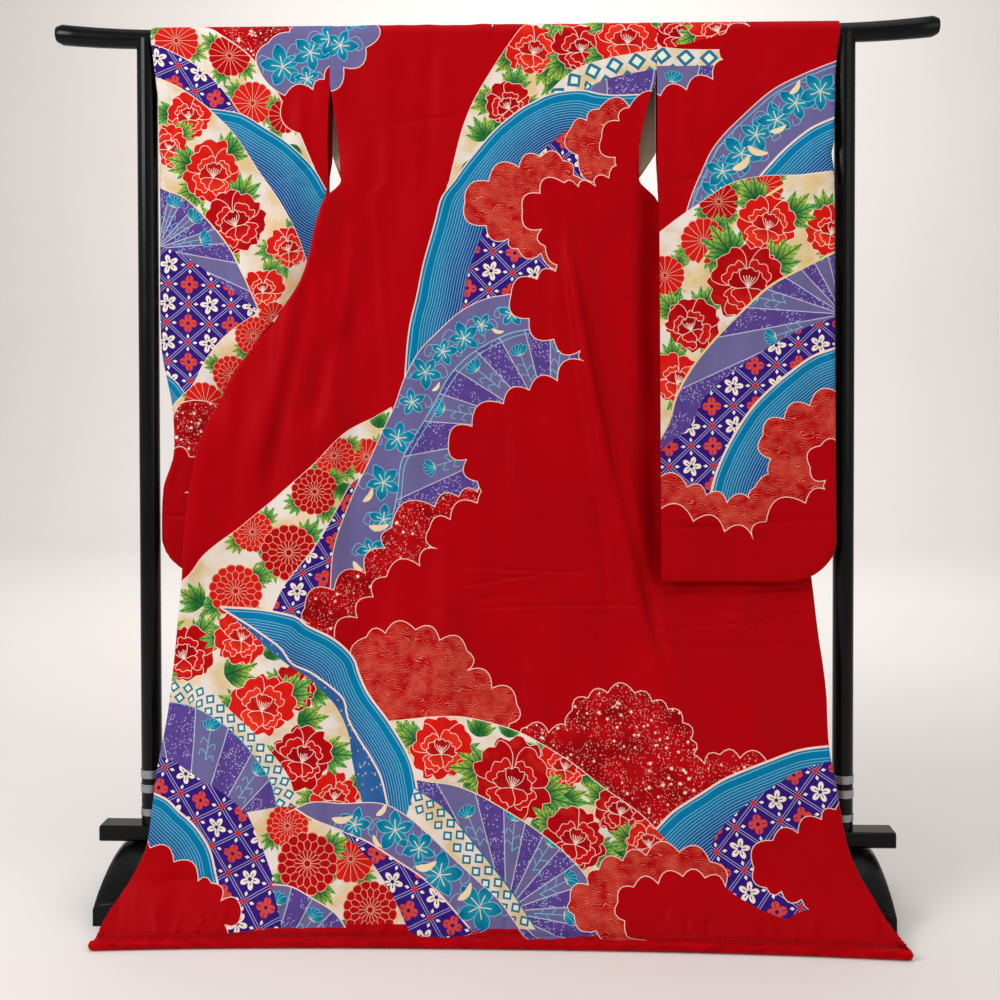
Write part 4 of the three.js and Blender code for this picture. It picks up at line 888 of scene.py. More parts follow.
def right_sleeve_print():
    """The right sleeve, from its body edge (x 0) to its cuff."""
    b = Board(7)
    cream = b.paint([(-10, -160), (170, -140), (176, -10), (130, 4), (-10, 40)], "gold_cream")
    b.strew(b.peony, cream, (46, 2, 50, 0.2, 3), (112, -6, 50, -0.2, 1), (40, -90, 52, 3.0, 1),
            leaves=(-1.6, 1.4))
    strip = [(-10, 28), (50, 34), (124, 36)]
    b.band(strip, [(-10, 66), (50, 66), (124, 66)], "lozenges", 1.2, enlarged(strip, 1.6))
    b.fan((-12, 430), [(-10, 66), (124, 66), (140, 100), (-10, 128)], 0, 0.5, lambda angle: 336)
    b.cloud([(-12, 128), (6, 125), (56, 114), (106, 94), (146, 56), (116, 30), (126, 4), (172, -8), (188, -60),
             (178, -130), (345, -150), (345, 150), (-12, 220)], "red_silk")
    outer = [(40, 400), (55, 340), (76, 286), (110, 221), (160, 166), (216, 116), (276, 84), (345, 56)]
    inner = [(180, 320), (190, 286), (236, 236), (290, 191), (345, 165)]
    b.paint(closed_off(inner, [(345, 330), (180, 330)]), "blue_sweep", along(flowing(inner)))
    lavender = b.band(outer, inner, "lavender", 1.8)
    b.line(flowing(outer) + (6, 6), 1.6, "pale_teal_line")
    b.strew(b.bluebell, lavender, (112, 318, 30, 0.4), (122, 272, 28, 0.1), (160, 238, 34, 0.5),
            (188, 200, 30, 0.2), (226, 172, 30, 0.9), (262, 140, 30, 0.3), (308, 118, 34, 0.6))
    b.strew(b.crescent, lavender, (140, 268, 30, 0.6), (172, 222, 28, 1.6), (214, 194, 22, 0.9),
            (250, 122, 22, 0.3))
    b.line(flowing(inner), 4.0)
    low = [(-12, 800), (16, 750), (31, 700), (61, 646), (106, 591), (156, 540), (211, 491), (276, 456),
           (345, 422)]
    cream = b.band([(-12, 398), (36, 361), (81, 331), (136, 296), (200, 281), (276, 279), (345, 270)],
                   low, "gold_cream", 2.2)
    b.strew(b.mum, cream, (200, 302, 38, 0), (114, 330, 38, 1), (84, 405, 44, 0), (10, 470, 38, 0))
    b.line(flowing([(-12, 590), (16, 541), (56, 481), (101, 416), (151, 366), (211, 316), (258, 288)]), 5.0,
           "gold_line", cream)
    b.strew(b.peony, cream, (326, 385, 48, 0.6, 1), (206, 372, 64, 0.2, 1), (60, 566, 54, -0.1, 3),
            (168, 480, 78, 0.1, 3), (32, 668, 52, 0.3, 1), leaves=(-0.7, 0.9, 2.6))
    lattice = [(-12, 820), (16, 790), (56, 760), (86, 701), (151, 646), (211, 606), (276, 571), (345, 548)]
    b.fan((350, 545), between(low, lattice), -1.8, 0.0,
          lambda angle: 194 - 60 * abs(angle + 0.9))
    b.line(flowing(low), 4.0, "gold_line")
    blue = [(90, 905), (96, 885), (111, 836), (146, 766), (186, 711), (241, 661), (291, 626), (345, 606)]
    b.paint(np.concatenate([between(lattice, blue), [(-12, 905)]]), "lattice", turned(-0.02))
    b.band(blue, [(150, 915), (200, 900), (345, 720)], "blue_sweep", 4.5)
    b.cloud([(345, 698), (286, 720), (236, 745), (196, 775), (211, 820), (236, 866), (180, 875), (176, 905),
             (126, 906), (86, 891), (50, 875), (-12, 865), (-12, 960), (120, 990), (345, 960)], "wave_cloud")
    b.cloud([(345, 796), (306, 796), (286, 836), (316, 861), (326, 886), (276, 906), (201, 941), (176, 976),
             (121, 961), (61, 941), (-12, 926), (-12, 1080), (345, 1080)], "red_silk")
    far_sleeve(b, -1)
    return b


def far_sleeve(b, mirror):
    """The far face of a sleeve: the bands run on over the shoulder into one long fan."""
    def at(points):
        return [(168 + mirror * (x - 168), -72 - y) for x, y in points]

    cream_edge = at([(-12, 300), (60, 250), (150, 215), (250, 200), (350, 205)])
    fan_edge = at([(-12, 470), (60, 410), (150, 370), (250, 350), (350, 350)])
    cream = b.band(cream_edge, fan_edge, "gold_cream", 2.4)
    for x, y, *ways in ((60, 340, 50, 2.9, 1), (160, 290, 58, 3.2, 3), (262, 276, 54, 3.0, 1)):
        b.peony(*at([(x, y)])[0], *ways, cream)
    pivot, = at([(330, 600)])
    lattice_edge = at([(-12, 640), (80, 590), (200, 560), (350, 556)])
    b.fan(pivot, between(fan_edge, lattice_edge), -1.5, 1.5, lambda angle: 185)
    low = at([(-12, 760), (90, 700), (210, 670), (350, 660)])
    b.paint(between(lattice_edge, low), "lattice", turned(0.1))
    b.band(low, at([(-12, 860), (100, 790), (220, 750), (350, 745)]), "blue_sweep", 3.5)
    b.cloud(at([(-12, 850), (30, 810), (80, 790), (130, 770), (190, 750), (250, 740), (300, 728), (350, 735),
                (350, 900), (-12, 930)]), "wave_cloud")
    b.cloud(at([(-12, 900), (40, 870), (95, 850), (150, 850), (210, 820), (270, 812), (350, 800), (350, 1060),
                (-12, 1060)]), "red_silk")


# ---------- Finishes ----------

def srgb(red, green, blue):
    """A colour given from 0 to 255 as it looks, in the linear values that a shader takes."""
    return tuple(((c / 255 + 0.055) / 1.055) ** 2.4 if c > 10 else c / 255 / 12.92 for c in (red, green, blue))


class Finish:
    """The node tree of one finish, with short ways to add what it is made of."""

    def __init__(self, name, roughness, coords="cloth"):
        self.material = bpy.data.materials.new(name)
        self.material.use_nodes = True
        self.tree = self.material.node_tree
        self.shader = self.tree.nodes["Principled BSDF"]
        self.shader.inputs["Roughness"].default_value = roughness
        if coords == "object":
            self.coords = self.node("ShaderNodeTexCoord").outputs["Object"]
        else:
            self.coords = self.node("ShaderNodeUVMap", uv_map=coords).outputs[0]

    def node(self, kind, **settings):
        node = self.tree.nodes.new(kind)
        for key, value in settings.items():
            setattr(node, key, value)
        return node

    def put(self, socket, value):
        if isinstance(value, bpy.types.NodeSocket):
            self.tree.links.new(value, socket)
        elif socket.type == "RGBA":
            socket.default_value = (*value[:3], 1.0)
        else:
            socket.default_value = value

    def math(self, operation, a, b=0.0, c=0.0):
        node = self.node("ShaderNodeMath", operation=operation)
        for socket, value in zip(node.inputs, (a, b, c)):
            self.put(socket, value)
        return node.outputs[0]

    def mix(self, factor, a, b):
        node = self.node("ShaderNodeMix", data_type="RGBA")
        self.put(node.inputs[0], factor)
        self.put(node.inputs[6], a)
        self.put(node.inputs[7], b)
        return node.outputs[2]

    def ramp(self, value, low, high):
        """0 below low, 1 above high, and smooth between."""
        node = self.node("ShaderNodeMapRange", interpolation_type="SMOOTHSTEP")
        self.put(node.inputs[0], value)
        node.inputs[1].default_value, node.inputs[2].default_value = low, high
        return node.outputs[0]

    def both(self, a, b):
        return self.math("MULTIPLY", a, b)

    def either(self, a, b):
        return self.math("MAXIMUM", a, b)

    def below(self, value, limit):
        return self.math("LESS_THAN", value, limit)

    def above(self, value, limit):
        return self.math("GREATER_THAN", value, limit)

    def plus(self, a, b):
        return self.math("ADD", a, b)

    def minus(self, a, b):
        return self.math("SUBTRACT", a, b)

    def over(self, a, b):
        return self.math("DIVIDE", a, b)

    def absolute(self, value):
        return self.math("ABSOLUTE", value)

    def part(self, value):
        """What is left of a value above the whole number below it."""
        return self.math("FRACT", value)

    def scaled(self, value, by, shift):
        return self.math("MULTIPLY_ADD", value, by, shift)

    def length(self, x, y):
        return self.math("SQRT", self.plus(self.both(x, x), self.both(y, y)))

    def xy(self, uv_map):
        node = self.node("ShaderNodeSeparateXYZ")
        self.tree.links.new(self.node("ShaderNodeUVMap", uv_map=uv_map).outputs[0], node.inputs[0])
        return node.outputs[0], node.outputs[1]

    def noise(self, scale, detail=2.0, stretch=(1, 1, 1), rough=0.5):
        mapping = self.node("ShaderNodeMapping")
        mapping.inputs["Scale"].default_value = stretch
        self.tree.links.new(self.coords, mapping.inputs["Vector"])
        node = self.node("ShaderNodeTexNoise")
        self.tree.links.new(mapping.outputs[0], node.inputs["Vector"])
        node.inputs["Scale"].default_value = scale
        node.inputs["Detail"].default_value = detail
        node.inputs["Roughness"].default_value = rough
        return node.outputs["Fac"]

    def cells(self, scale):
        """Distance to the nearest of many scattered dots, from 0 to about 1."""
        node = self.node("ShaderNodeTexVoronoi")
        self.tree.links.new(self.coords, node.inputs["Vector"])
        node.inputs["Scale"].default_value = scale
        return node.outputs["Distance"]

    def bump(self, height, strength, distance):
        node = self.node("ShaderNodeBump")
        node.inputs["Strength"].default_value = strength
        node.inputs["Distance"].default_value = distance
        self.tree.links.new(height, node.inputs["Height"])
        before = self.shader.inputs["Normal"]
        if before.is_linked:
            self.tree.links.new(before.links[0].from_socket, node.inputs["Normal"])
        self.tree.links.new(node.outputs[0], before)

    def colour(self, value):
        self.put(self.shader.inputs["Base Color"], value)
        return self.material


def crepe(f, colour, silk, depth=1.0):
    """Crepe silk over a colour: grain of the twisted threads, faint streaks along the warp, and sheen."""
    grain = f.noise(silk.grain, 3.0, (1.0, 0.55, 1.0), 0.6)
    streaks = f.noise(5.0, 3.0, (60.0, 1.0, 1.0))
    clouding = f.noise(7.0, 2.0)
    shade = f.plus(f.scaled(grain, 0.20, 0.80), f.both(streaks, 0.10))
    shade = f.plus(shade, f.scaled(clouding, 0.16, -0.03))
    node = f.node("ShaderNodeMix", data_type="RGBA", blend_type="MULTIPLY")
    node.inputs[0].default_value = 1.0
    f.put(node.inputs[6], colour)
    joined = f.node("ShaderNodeCombineColor")
    for socket in joined.inputs[:3]:
        f.put(socket, shade)
    f.put(node.inputs[7], joined.outputs[0])
    f.bump(grain, 0.30 * depth, 0.0006)
    f.bump(streaks, 0.08 * depth, 0.0008)
    f.put(f.shader.inputs["Roughness"], f.scaled(grain, 0.16, silk.roughness))
    f.shader.inputs["Sheen Weight"].default_value = silk.sheen
    f.shader.inputs["Sheen Roughness"].default_value = 0.45
    f.shader.inputs["Specular IOR Level"].default_value = 0.03
    return f.colour(node.outputs[2])


def red_silk(f, silk):
    return f.mix(f.noise(3.0, 3.0), silk.red, silk.deep_red)


def gold_cream(f, silk):
    blot = f.ramp(f.noise(16.0, 3.0), 0.36, 0.60)
    peach = f.ramp(f.noise(9.0, 2.0, (1.3, 1.0, 1.0)), 0.50, 0.70)
    return f.mix(f.both(peach, 0.35), f.mix(blot, silk.gold, silk.pale), srgb(238, 196, 130))


def blue_sweep(f, silk):
    _, away = f.xy("pattern")
    away = f.plus(away, f.both(f.minus(f.noise(14.0), 0.5), 0.004))
    ground = f.mix(f.ramp(away, 0.012, 0.085), silk.sky, silk.ink)
    phase = f.part(f.over(away, 0.0050))
    stripe = f.both(f.below(phase, 0.20), f.above(away, 0.020))
    lines = f.either(stripe, f.both(f.above(away, 0.0055), f.below(away, 0.0070)))
    return f.mix(f.both(lines, 0.75), ground, srgb(150, 198, 212))


def blue_speckle(f, silk):
    fleck = f.below(f.cells(110.0), 0.22)
    ground = f.mix(f.noise(30.0), srgb(52, 104, 160), srgb(30, 72, 130))
    return f.mix(f.both(fleck, 0.6), ground, srgb(205, 200, 170))


def petal_star(f, x, y, petals, size, waist, round_off):
    """1 inside a flower of petals about the middle."""
    reach = f.length(x, y)
    turn = f.math("ARCTAN2", y, x)
    edge = f.absolute(f.math("COSINE", f.both(turn, petals / 2)))
    edge = f.scaled(f.math("POWER", edge, round_off), size * (1 - waist), size * waist)
    return f.below(reach, edge), reach


def lattice(f, silk):
    """Flower diamonds: double lines that cross, a red knot where they meet, and a flower in each cell."""
    wide, high = 0.084, 0.076
    p, q = f.xy("pattern")
    a = f.plus(f.over(p, wide), f.over(q, high))
    b = f.minus(f.over(p, wide), f.over(q, high))
    centred = [f.minus(f.part(value), 0.5) for value in (a, b)]
    to_line = [f.minus(0.5, f.absolute(value)) for value in centred]
    nearest = f.math("MINIMUM", *to_line)
    furthest = f.math("MAXIMUM", *to_line)
    double = f.both(f.below(nearest, 0.050), f.above(nearest, 0.028))
    knot = f.below(furthest, 0.078)
    x = f.both(f.plus(*centred), wide / 2)
    y = f.both(f.minus(*centred), high / 2)
    row = f.minus(f.math("FLOOR", a), f.math("FLOOR", b))
    odd = f.above(f.math("FLOORED_MODULO", row, 2.0), 0.5)
    cream_star, reach = petal_star(f, x, y, 5, 0.0190, 0.26, 0.95)
    red_star, _ = petal_star(f, y, x, 4, 0.0178, 0.38, 0.55)
    notch = f.both(f.below(f.math("MINIMUM", f.absolute(x), f.absolute(y)), 0.0007),
                   f.above(reach, 0.0085))
    vein = f.below(f.absolute(f.math("COSINE", f.both(f.math("ARCTAN2", y, x), 2.5))), 0.97)
    vein = f.either(vein, f.above(reach, 0.0115))
    red_star = f.both(f.both(red_star, odd), f.minus(1.0, notch))
    cream_star = f.both(f.both(cream_star, f.minus(1.0, odd)), vein)
    rim = f.both(f.plus(red_star, cream_star), f.below(reach, 0.0035))
    drops = []
    for at_x, at_y, long_x, long_y in ((0.0275, 0.0, 0.0050, 0.0031), (0.0, 0.0255, 0.0031, 0.0048)):
        dx = f.over(f.minus(f.absolute(x), at_x), long_x)
        dy = f.over(f.minus(f.absolute(y), at_y), long_y)
        drops.append(f.below(f.plus(f.absolute(dx), f.absolute(dy)), 1.0))
    colour = f.mix(f.noise(40.0), silk.indigo, srgb(50, 26, 120))
    colour = f.mix(double, colour, srgb(166, 162, 198))
    colour = f.mix(f.either(cream_star, f.either(*drops)), colour, srgb(234, 222, 202))
    colour = f.mix(red_star, colour, srgb(206, 66, 52))
    colour = f.mix(f.both(knot, f.above(furthest, 0.0)), colour, srgb(206, 44, 40))
    return f.mix(rim, colour, silk.indigo)


def lozenges(f, silk):
    """Two rows of small hollow diamonds on gold."""
    u, v = f.xy("pattern")
    ground = gold_cream(f, silk)
    for across, shift in ((0.010, 0.0), (0.029, 0.5)):
        x = f.minus(f.part(f.plus(f.over(u, 0.027), shift)), 0.5)
        x = f.absolute(f.both(x, 0.027))
        y = f.absolute(f.minus(v, across))
        far = f.plus(x, y)
        ground = f.mix(f.below(far, 0.0112), ground, srgb(34, 112, 140))
        ground = f.mix(f.below(far, 0.0060), ground, srgb(222, 228, 212))
    return ground


def fan_leaf(f, silk):
    """Fan ribs: lavender and dark speckled by turns, with a fine line between."""
    x, y = f.xy("pattern")
    reach = f.length(x, y)
    rib = f.over(f.math("ARCTAN2", x, f.both(y, -1.0)), FAN_PITCH)
    dark = f.above(f.math("FLOORED_MODULO", rib, 2.0), 1.0)
    part = f.part(rib)
    beside = f.both(f.math("MINIMUM", part, f.minus(1.0, part)), f.both(reach, FAN_PITCH))
    speck = f.both(f.below(f.cells(230.0), 0.30), f.above(f.noise(34.0), 0.44))
    deep = f.mix(f.both(speck, 0.7), f.mix(f.noise(60.0), silk.plum, srgb(74, 52, 132)), srgb(190, 180, 220))
    colour = f.mix(dark, f.mix(f.noise(10.0), silk.lavender, srgb(96, 92, 136)), deep)
    return f.mix(f.both(f.below(beside, 0.0009), 0.8), colour, srgb(196, 196, 214))


def lavender(f, silk):
    return f.mix(f.noise(12.0, 3.0), silk.lavender, srgb(96, 90, 138))


def wave_cloud(f, silk):
    """Red ground under fine lines of drifting waves."""
    u, v = f.xy("cloth")
    drift = f.both(f.minus(f.noise(24.0, 3.0, (0.7, 1.0, 1.0)), 0.5), 0.040)
    swell = f.both(f.math("SINE", f.over(f.plus(u, drift), 0.0052)), 0.0016)
    phase = f.part(f.over(f.plus(f.plus(v, drift), swell), 0.0038))
    tone = f.mix(f.ramp(f.noise(22.0), 0.4, 0.62), silk.red, srgb(194, 50, 38))
    tone = f.mix(f.both(f.above(phase, 0.78), 0.5), tone, srgb(110, 10, 14))
    line = f.both(f.below(phase, 0.24), f.both(f.ramp(f.noise(60.0), 0.3, 0.7), 0.7))
    return f.mix(line, tone, srgb(226, 136, 112))


def speckled_cloud(f, silk):
    """Deep red, sown with pale flecks of two sizes."""
    small = f.both(f.below(f.cells(260.0), 0.26), f.above(f.noise(30.0), 0.42))
    large = f.both(f.below(f.cells(105.0), 0.17), f.above(f.noise(19.0), 0.50))
    ground = f.mix(f.ramp(f.noise(14.0, 3.0), 0.4, 0.65), srgb(176, 6, 14), srgb(138, 2, 10))
    return f.mix(f.both(f.either(small, large), 0.62), ground, srgb(240, 178, 160))


def coded(f):
    """Straight coordinates inside one motif, and its whole-number code."""
    x, y = f.xy("pattern")
    code = f.math("FLOOR", f.over(f.plus(x, 2.0), 4.0))
    return f.minus(x, f.both(code, 4.0)), y, code


def petal(f, silk):
    x, y, code = coded(f)
    reach = f.length(x, y)
    warm = f.mix(f.above(code, 1.5), srgb(204, 22, 14), srgb(222, 44, 24))
    deep = f.mix(f.above(code, 3.5), srgb(170, 4, 10), srgb(194, 16, 16))
    colour = f.mix(f.above(code, 2.5), warm, deep)
    heart = f.ramp(f.plus(reach, f.both(f.noise(30.0), 0.3)), 0.75, 0.25)
    colour = f.mix(f.both(heart, 0.55), colour, srgb(122, 0, 8))
    return f.mix(f.both(f.ramp(f.noise(24.0), 0.5, 0.8), 0.3), colour, srgb(232, 66, 36))


def chrysanthemum(f, silk):
    """Sixteen petals with pale edges, in one ring or in three."""
    x, y, code = coded(f)
    reach = f.length(x, y)
    turn = f.both(f.math("ARCTAN2", y, x), 16 / math.tau)
    many = f.above(code, 1.5)
    tip = f.math("COSINE", f.both(turn, math.tau))
    rings = [f.scaled(tip, give, size) for size, give in ((0.42, -0.045), (0.72, 0.045))]
    middle = f.both(many, f.both(f.above(reach, rings[0]), f.below(reach, rings[1])))
    part = f.part(f.plus(turn, f.both(middle, 0.5)))
    beside = f.both(f.math("MINIMUM", part, f.minus(1.0, part)), f.both(reach, math.tau / 16))
    edge = f.both(f.below(beside, 0.014), f.above(reach, 0.10))
    for ring in rings:
        edge = f.either(edge, f.both(many, f.below(f.absolute(f.minus(reach, ring)), 0.014)))
    edge = f.either(edge, f.below(f.absolute(f.minus(reach, 0.115)), 0.014))
    outer = f.scaled(f.math("POWER", f.absolute(f.math("SINE", f.both(turn, math.pi))), 0.6), 0.09, 0.89)
    edge = f.either(edge, f.above(reach, outer))
    dark = f.above(f.math("FLOORED_MODULO", code, 2.0), 0.5)
    colour = f.mix(dark, f.mix(f.noise(22.0), srgb(210, 34, 22), srgb(186, 14, 16)), srgb(172, 8, 12))
    colour = f.mix(f.both(f.ramp(reach, 0.55, 0.12), 0.5), colour, srgb(146, 4, 12))
    return f.mix(f.both(edge, 0.85), colour, srgb(236, 160, 136))


def leaf(f, silk):
    """A green leaf with a dark midrib and side veins."""
    x, y, code = coded(f)
    up, off = f.both(y, -1.0), f.absolute(x)
    vein = f.below(f.part(f.scaled(f.minus(up, f.both(off, 1.6)), 5.0, 0.3)), 0.22)
    vein = f.either(f.both(vein, f.above(off, 0.03)), f.below(off, 0.022))
    tip = f.mix(f.above(code, 0.5), silk.leaf_tip, srgb(120, 182, 84))
    colour = f.mix(f.ramp(up, 0.25, 0.8), silk.leaf, tip)
    return f.mix(f.both(vein, 0.8), colour, srgb(14, 66, 38))


def teal_petal(f, silk):
    x, y, _ = coded(f)
    reach = f.length(x, y)
    return f.mix(f.ramp(reach, 0.2, 1.0), srgb(20, 138, 160), srgb(0, 104, 146))


def resist_line(f, silk):
    return silk.resist


def pale_teal_line(f, silk):
    return srgb(120, 190, 204)


def gold_line(f, silk):
    return srgb(222, 200, 140)


def cream(f, silk):
    return f.mix(f.noise(30.0), srgb(236, 218, 180), srgb(226, 200, 156))


def speck(f, silk):
    return srgb(246, 206, 194)


DYES = {dye.__name__: dye for dye in (
    red_silk, gold_cream, blue_sweep, blue_speckle, lattice, lozenges, fan_leaf, lavender, wave_cloud,
    speckled_cloud, petal, chrysanthemum, leaf, teal_petal, resist_line, pale_teal_line, gold_line, cream,
    speck)}
LINING = "lining_silk"


def dyed(name, silk):
    """One dye on the crepe, made once and shared by the panels."""
    known = bpy.data.materials.get(name)
    if known:
        return known
    f = Finish(name, silk.roughness)
    if name == LINING:
        return crepe(f, f.mix(f.noise(5.0), silk.lining, srgb(176, 150, 128)), silk, 0.4)
    return crepe(f, DYES[name](f, silk), silk)


def padded_silk(silk):
    f = Finish("padded_silk", silk.roughness, "object")
    pucker = f.noise(34.0, 3.0, (1.0, 3.0, 3.0))
    f.bump(pucker, 0.35, 0.0030)
    # Painted shade: the roll's colour goes to the deeper red in the hollows of the puckers and to the red on their
    # crests, following the same noise as the bump.
    return crepe(f, f.mix(f.ramp(pucker, 0.3, 0.7), silk.deep_red, silk.red), silk, 1.2)


def collar_silk(silk):
    f = Finish("collar_silk", silk.roughness, "object")
    return crepe(f, f.mix(f.noise(6.0), silk.red, silk.deep_red), silk)


# Near-black red thread: partly the thread's own colour, partly painted shade, standing in for the dark shadow
# along the hem seam.
def thread(silk):
    f = Finish("thread", 0.6, "object")
    twist = f.noise(2600.0, 1.0)
    f.bump(twist, 0.4, 0.0002)
    return f.colour(f.mix(twist, srgb(70, 0, 8), srgb(34, 0, 6)))


def lacquer(stand):
    """Black lacquer: deep gloss with the faintest ripple, dulled where hands and dust have been."""
    f = Finish("black_lacquer", stand.gloss, "object")
    haze = f.noise(9.0, 4.0)
    f.bump(f.noise(26.0, 2.0), 0.03, 0.001)
    f.put(f.shader.inputs["Roughness"], f.scaled(f.ramp(haze, 0.45, 0.75), 0.12, stand.gloss))
    f.shader.inputs["Specular IOR Level"].default_value = 0.16
    return f.colour(f.mix(haze, stand.lacquer, srgb(10, 10, 11)))


def silver(stand):
    """Silver plate, brushed round the post."""
    f = Finish("silver_plate", 0.34, "object")
    brushed = f.noise(60.0, 3.0, (1.0, 1.0, 26.0))
    f.bump(brushed, 0.12, 0.0004)
    f.shader.inputs["Metallic"].default_value = 0.85
    f.put(f.shader.inputs["Roughness"], f.scaled(brushed, 0.2, 0.28))
    return f.colour(f.mix(brushed, stand.silver, srgb(120, 122, 128)))


# ---------- Cutting the cloth ----------

def inside_of(outline, points):
    """True for each point that lies inside a closed outline."""
    found = np.zeros(len(points), bool)
    ends = np.roll(outline, -1, 0)
    order = np.argsort(points[:, 1])
    for part in np.array_split(order, 1 + len(points) // 1500):
        x, y = points[part, 0:1], points[part, 1:2]
        if not len(part):
            continue
        low, high = np.minimum(outline[:, 1], ends[:, 1]), np.maximum(outline[:, 1], ends[:, 1])
        beside = (low <= y.max()) & (high >= y.min())
        a, b = outline[beside], ends[beside]
        left = (b[:, 0] - a[:, 0]) * (y - a[:, 1]) - (x - a[:, 0]) * (b[:, 1] - a[:, 1])
        up = (a[:, 1] <= y) & (b[:, 1] > y) & (left > 0)
        down = (a[:, 1] > y) & (b[:, 1] <= y) & (left < 0)
        found[part] = (up.sum(1) - down.sum(1)) != 0
    return found


def ring(start, count):
    return [(start + i, start + (i + 1) % count) for i in range(count)]


def staggered(low, high, pitch):
    """Points spread evenly over a board, every second row shifted by half a pitch."""
    rows = np.arange(low[1], high[1], pitch * 0.87)
    cols = np.arange(low[0], high[0], pitch)
    grid = np.array([(x + (i % 2) * pitch / 2, y) for i, y in enumerate(rows) for x in cols])
    return grid


def no_long_edges(line, limit=8.0):
    """A closed line with points added on its long straight stretches, so that it can bend with the cloth."""
    parts = []
    for a, b in zip(line, np.roll(line, -1, 0)):
        pieces = max(1, math.ceil(np.linalg.norm(b - a) / limit))
        parts.append(a + (b - a) * (np.arange(pieces) / pieces)[:, None])
    return np.concatenate(parts)


def triangulated(outline, lines, fill):
    """Triangles inside an outline, with edges along every line given and corners at every point of fill."""
    points, edges, count = [outline], ring(0, len(outline)), len(outline)
    for line in lines:
        line = no_long_edges(line)
        points.append(line)
        edges += ring(count, len(line))
        count += len(line)
    points.append(fill[inside_of(outline, fill)])
    flat, _, faces, origins = delaunay_2d_cdt(
        [Vector(p) for p in np.concatenate(points)], edges, [], 0, 0.01, True)[:4]
    flat, faces = np.array(flat), np.array(faces)
    corner = flat[faces]
    faces = faces[inside_of(outline, corner.mean(1))]
    return flat, faces, origins


def rim_of(faces):
    """The corners along the edge of a sheet, in the order that its triangles turn."""
    edges = {(int(f[k]), int(f[(k + 1) % 3])) for f in faces for k in range(3)}
    follow = {a: b for a, b in edges if (b, a) not in edges}
    start = next(iter(follow))
    loop = [start]
    while follow[loop[-1]] != start:
        loop.append(follow[loop[-1]])
        if len(loop) > len(follow):
            raise RuntimeError("the edge of a panel isn't one loop")
    if len(loop) != len(follow):
        raise RuntimeError("the edge of a panel is in more than one piece")
    return np.array(loop)


def dyes_on(board, flat, faces):
    """The uppermost patch over each triangle, or -1 where the ground shows."""
    centre = flat[faces].mean(1)
    order = np.argsort(centre[:, 1])
    high_up = centre[order, 1]
    parents = {p.inside for p in board.patches}
    patterned = np.array([p.finish != "red_silk" for p in board.patches] + [False])
    masks, top = {}, np.full(len(faces), -1)
    for i, patch in enumerate(board.patches):
        near = order[np.searchsorted(high_up, patch.low[1]):np.searchsorted(high_up, patch.high[1])]
        near = near[(centre[near, 0] >= patch.low[0]) & (centre[near, 0] <= patch.high[0])]
        hit = near[inside_of(patch.points, centre[near])]
        if patch.inside == ON_PATTERN:
            hit = hit[patterned[top[hit]]]
        elif patch.inside is not None:
            hit = hit[masks[patch.inside][hit]]
        if i in parents:
            masks[i] = np.zeros(len(faces), bool)
            masks[i][hit] = True
        top[hit] = i
    if board.plain is not None:
        top[board.plain(*centre.T)] = -1
    return top


def sewn_panel(name, outline, board, surface, sign, extra, hang, faced):
    """A lined panel: its dyed face, its lining a cloth's thickness inside, and the edge that joins them.

    The red silk is turned in over the lining wherever faced(across, down) says so.
    """
    silk, low, high = hang.silk, outline.min(0), outline.max(0)
    fill = np.concatenate([staggered(low, high, hang.board_pitch / MM), extra])
    lines = [p.points for p in board.patches if (p.low < high).all() and (p.high > low).all()]
    flat, faces, _ = triangulated(outline, lines, fill)
    top = dyes_on(board, flat, faces)
    used = np.unique(faces)
    renumber = np.zeros(len(flat), int)
    renumber[used] = np.arange(len(used))
    flat, faces = flat[used], renumber[faces]
    loop = rim_of(faces)
    inner, inner_faces, origins = triangulated(flat[loop], [], fill)
    at_rim = {first: i for i, found in enumerate(origins) for first in found if first < len(loop)}
    twin = np.array([at_rim[i] for i in range(len(loop))]) + len(flat)

    front, front_normal = surface(flat[:, 0], flat[:, 1])
    back, back_normal = surface(inner[:, 0], inner[:, 1])
    back = back - back_normal * hang.cloth / MM
    points = np.concatenate([front, back]) * MM + (0, POST_PLANE * MM, 0)
    after, twin_after = np.roll(loop, -1), np.roll(twin, -1)
    rim = np.concatenate([np.stack([after, loop, twin], 1), np.stack([after, twin, twin_after], 1)])
    lining = inner_faces[:, ::-1] + len(flat)
    every = np.concatenate([faces, lining, rim])
    if sign < 0:
        every = every[:, ::-1]

    finishes, index = ["red_silk", LINING], np.zeros(len(every), int)
    for i in np.unique(top[top >= 0]):
        finish = board.patches[i].finish
        if finish not in finishes:
            finishes.append(finish)
        index[:len(faces)][top == i] = finishes.index(finish)
    index[len(faces):len(faces) + len(lining)] = ~faced(*inner[inner_faces].mean(1).T)
    mesh = bpy.data.meshes.new(name)
    mesh.from_pydata(points.tolist(), [], every.tolist())
    for finish in finishes:
        mesh.materials.append(dyed(finish, silk))
    mesh.polygons.foreach_set("material_index", index)

    board_points = np.concatenate([flat, inner])
    cloth_uv = board_points[every] * MM
    pattern_uv = cloth_uv.copy()
    shown = every[:len(faces)]
    for i in np.unique(top[top >= 0]):
        place = board.patches[i].place
        if place:
            at = np.flatnonzero(top == i)
            pattern_uv[at] = place(board_points[shown[at]].reshape(-1, 2)).reshape(-1, 3, 2)
    for layer, values in (("cloth", cloth_uv), ("pattern", pattern_uv)):
        mesh.uv_layers.new(name=layer).uv.foreach_set("vector", values.astype(np.float32).ravel())

    normals = np.concatenate([front_normal, -back_normal])[every]
    sides = points[every[len(faces) + len(lining):]]
    flat_sides = np.cross(sides[:, 1] - sides[:, 0], sides[:, 2] - sides[:, 0])
    normals[len(faces) + len(lining):] = (flat_sides / np.maximum(
        np.linalg.norm(flat_sides, axis=1), 1e-12)[:, None])[:, None]
    mesh.polygons.foreach_set("use_smooth", np.ones(len(every), bool))
    mesh.normals_split_custom_set(normals.reshape(-1, 3).tolist())
    return linked(name, mesh)


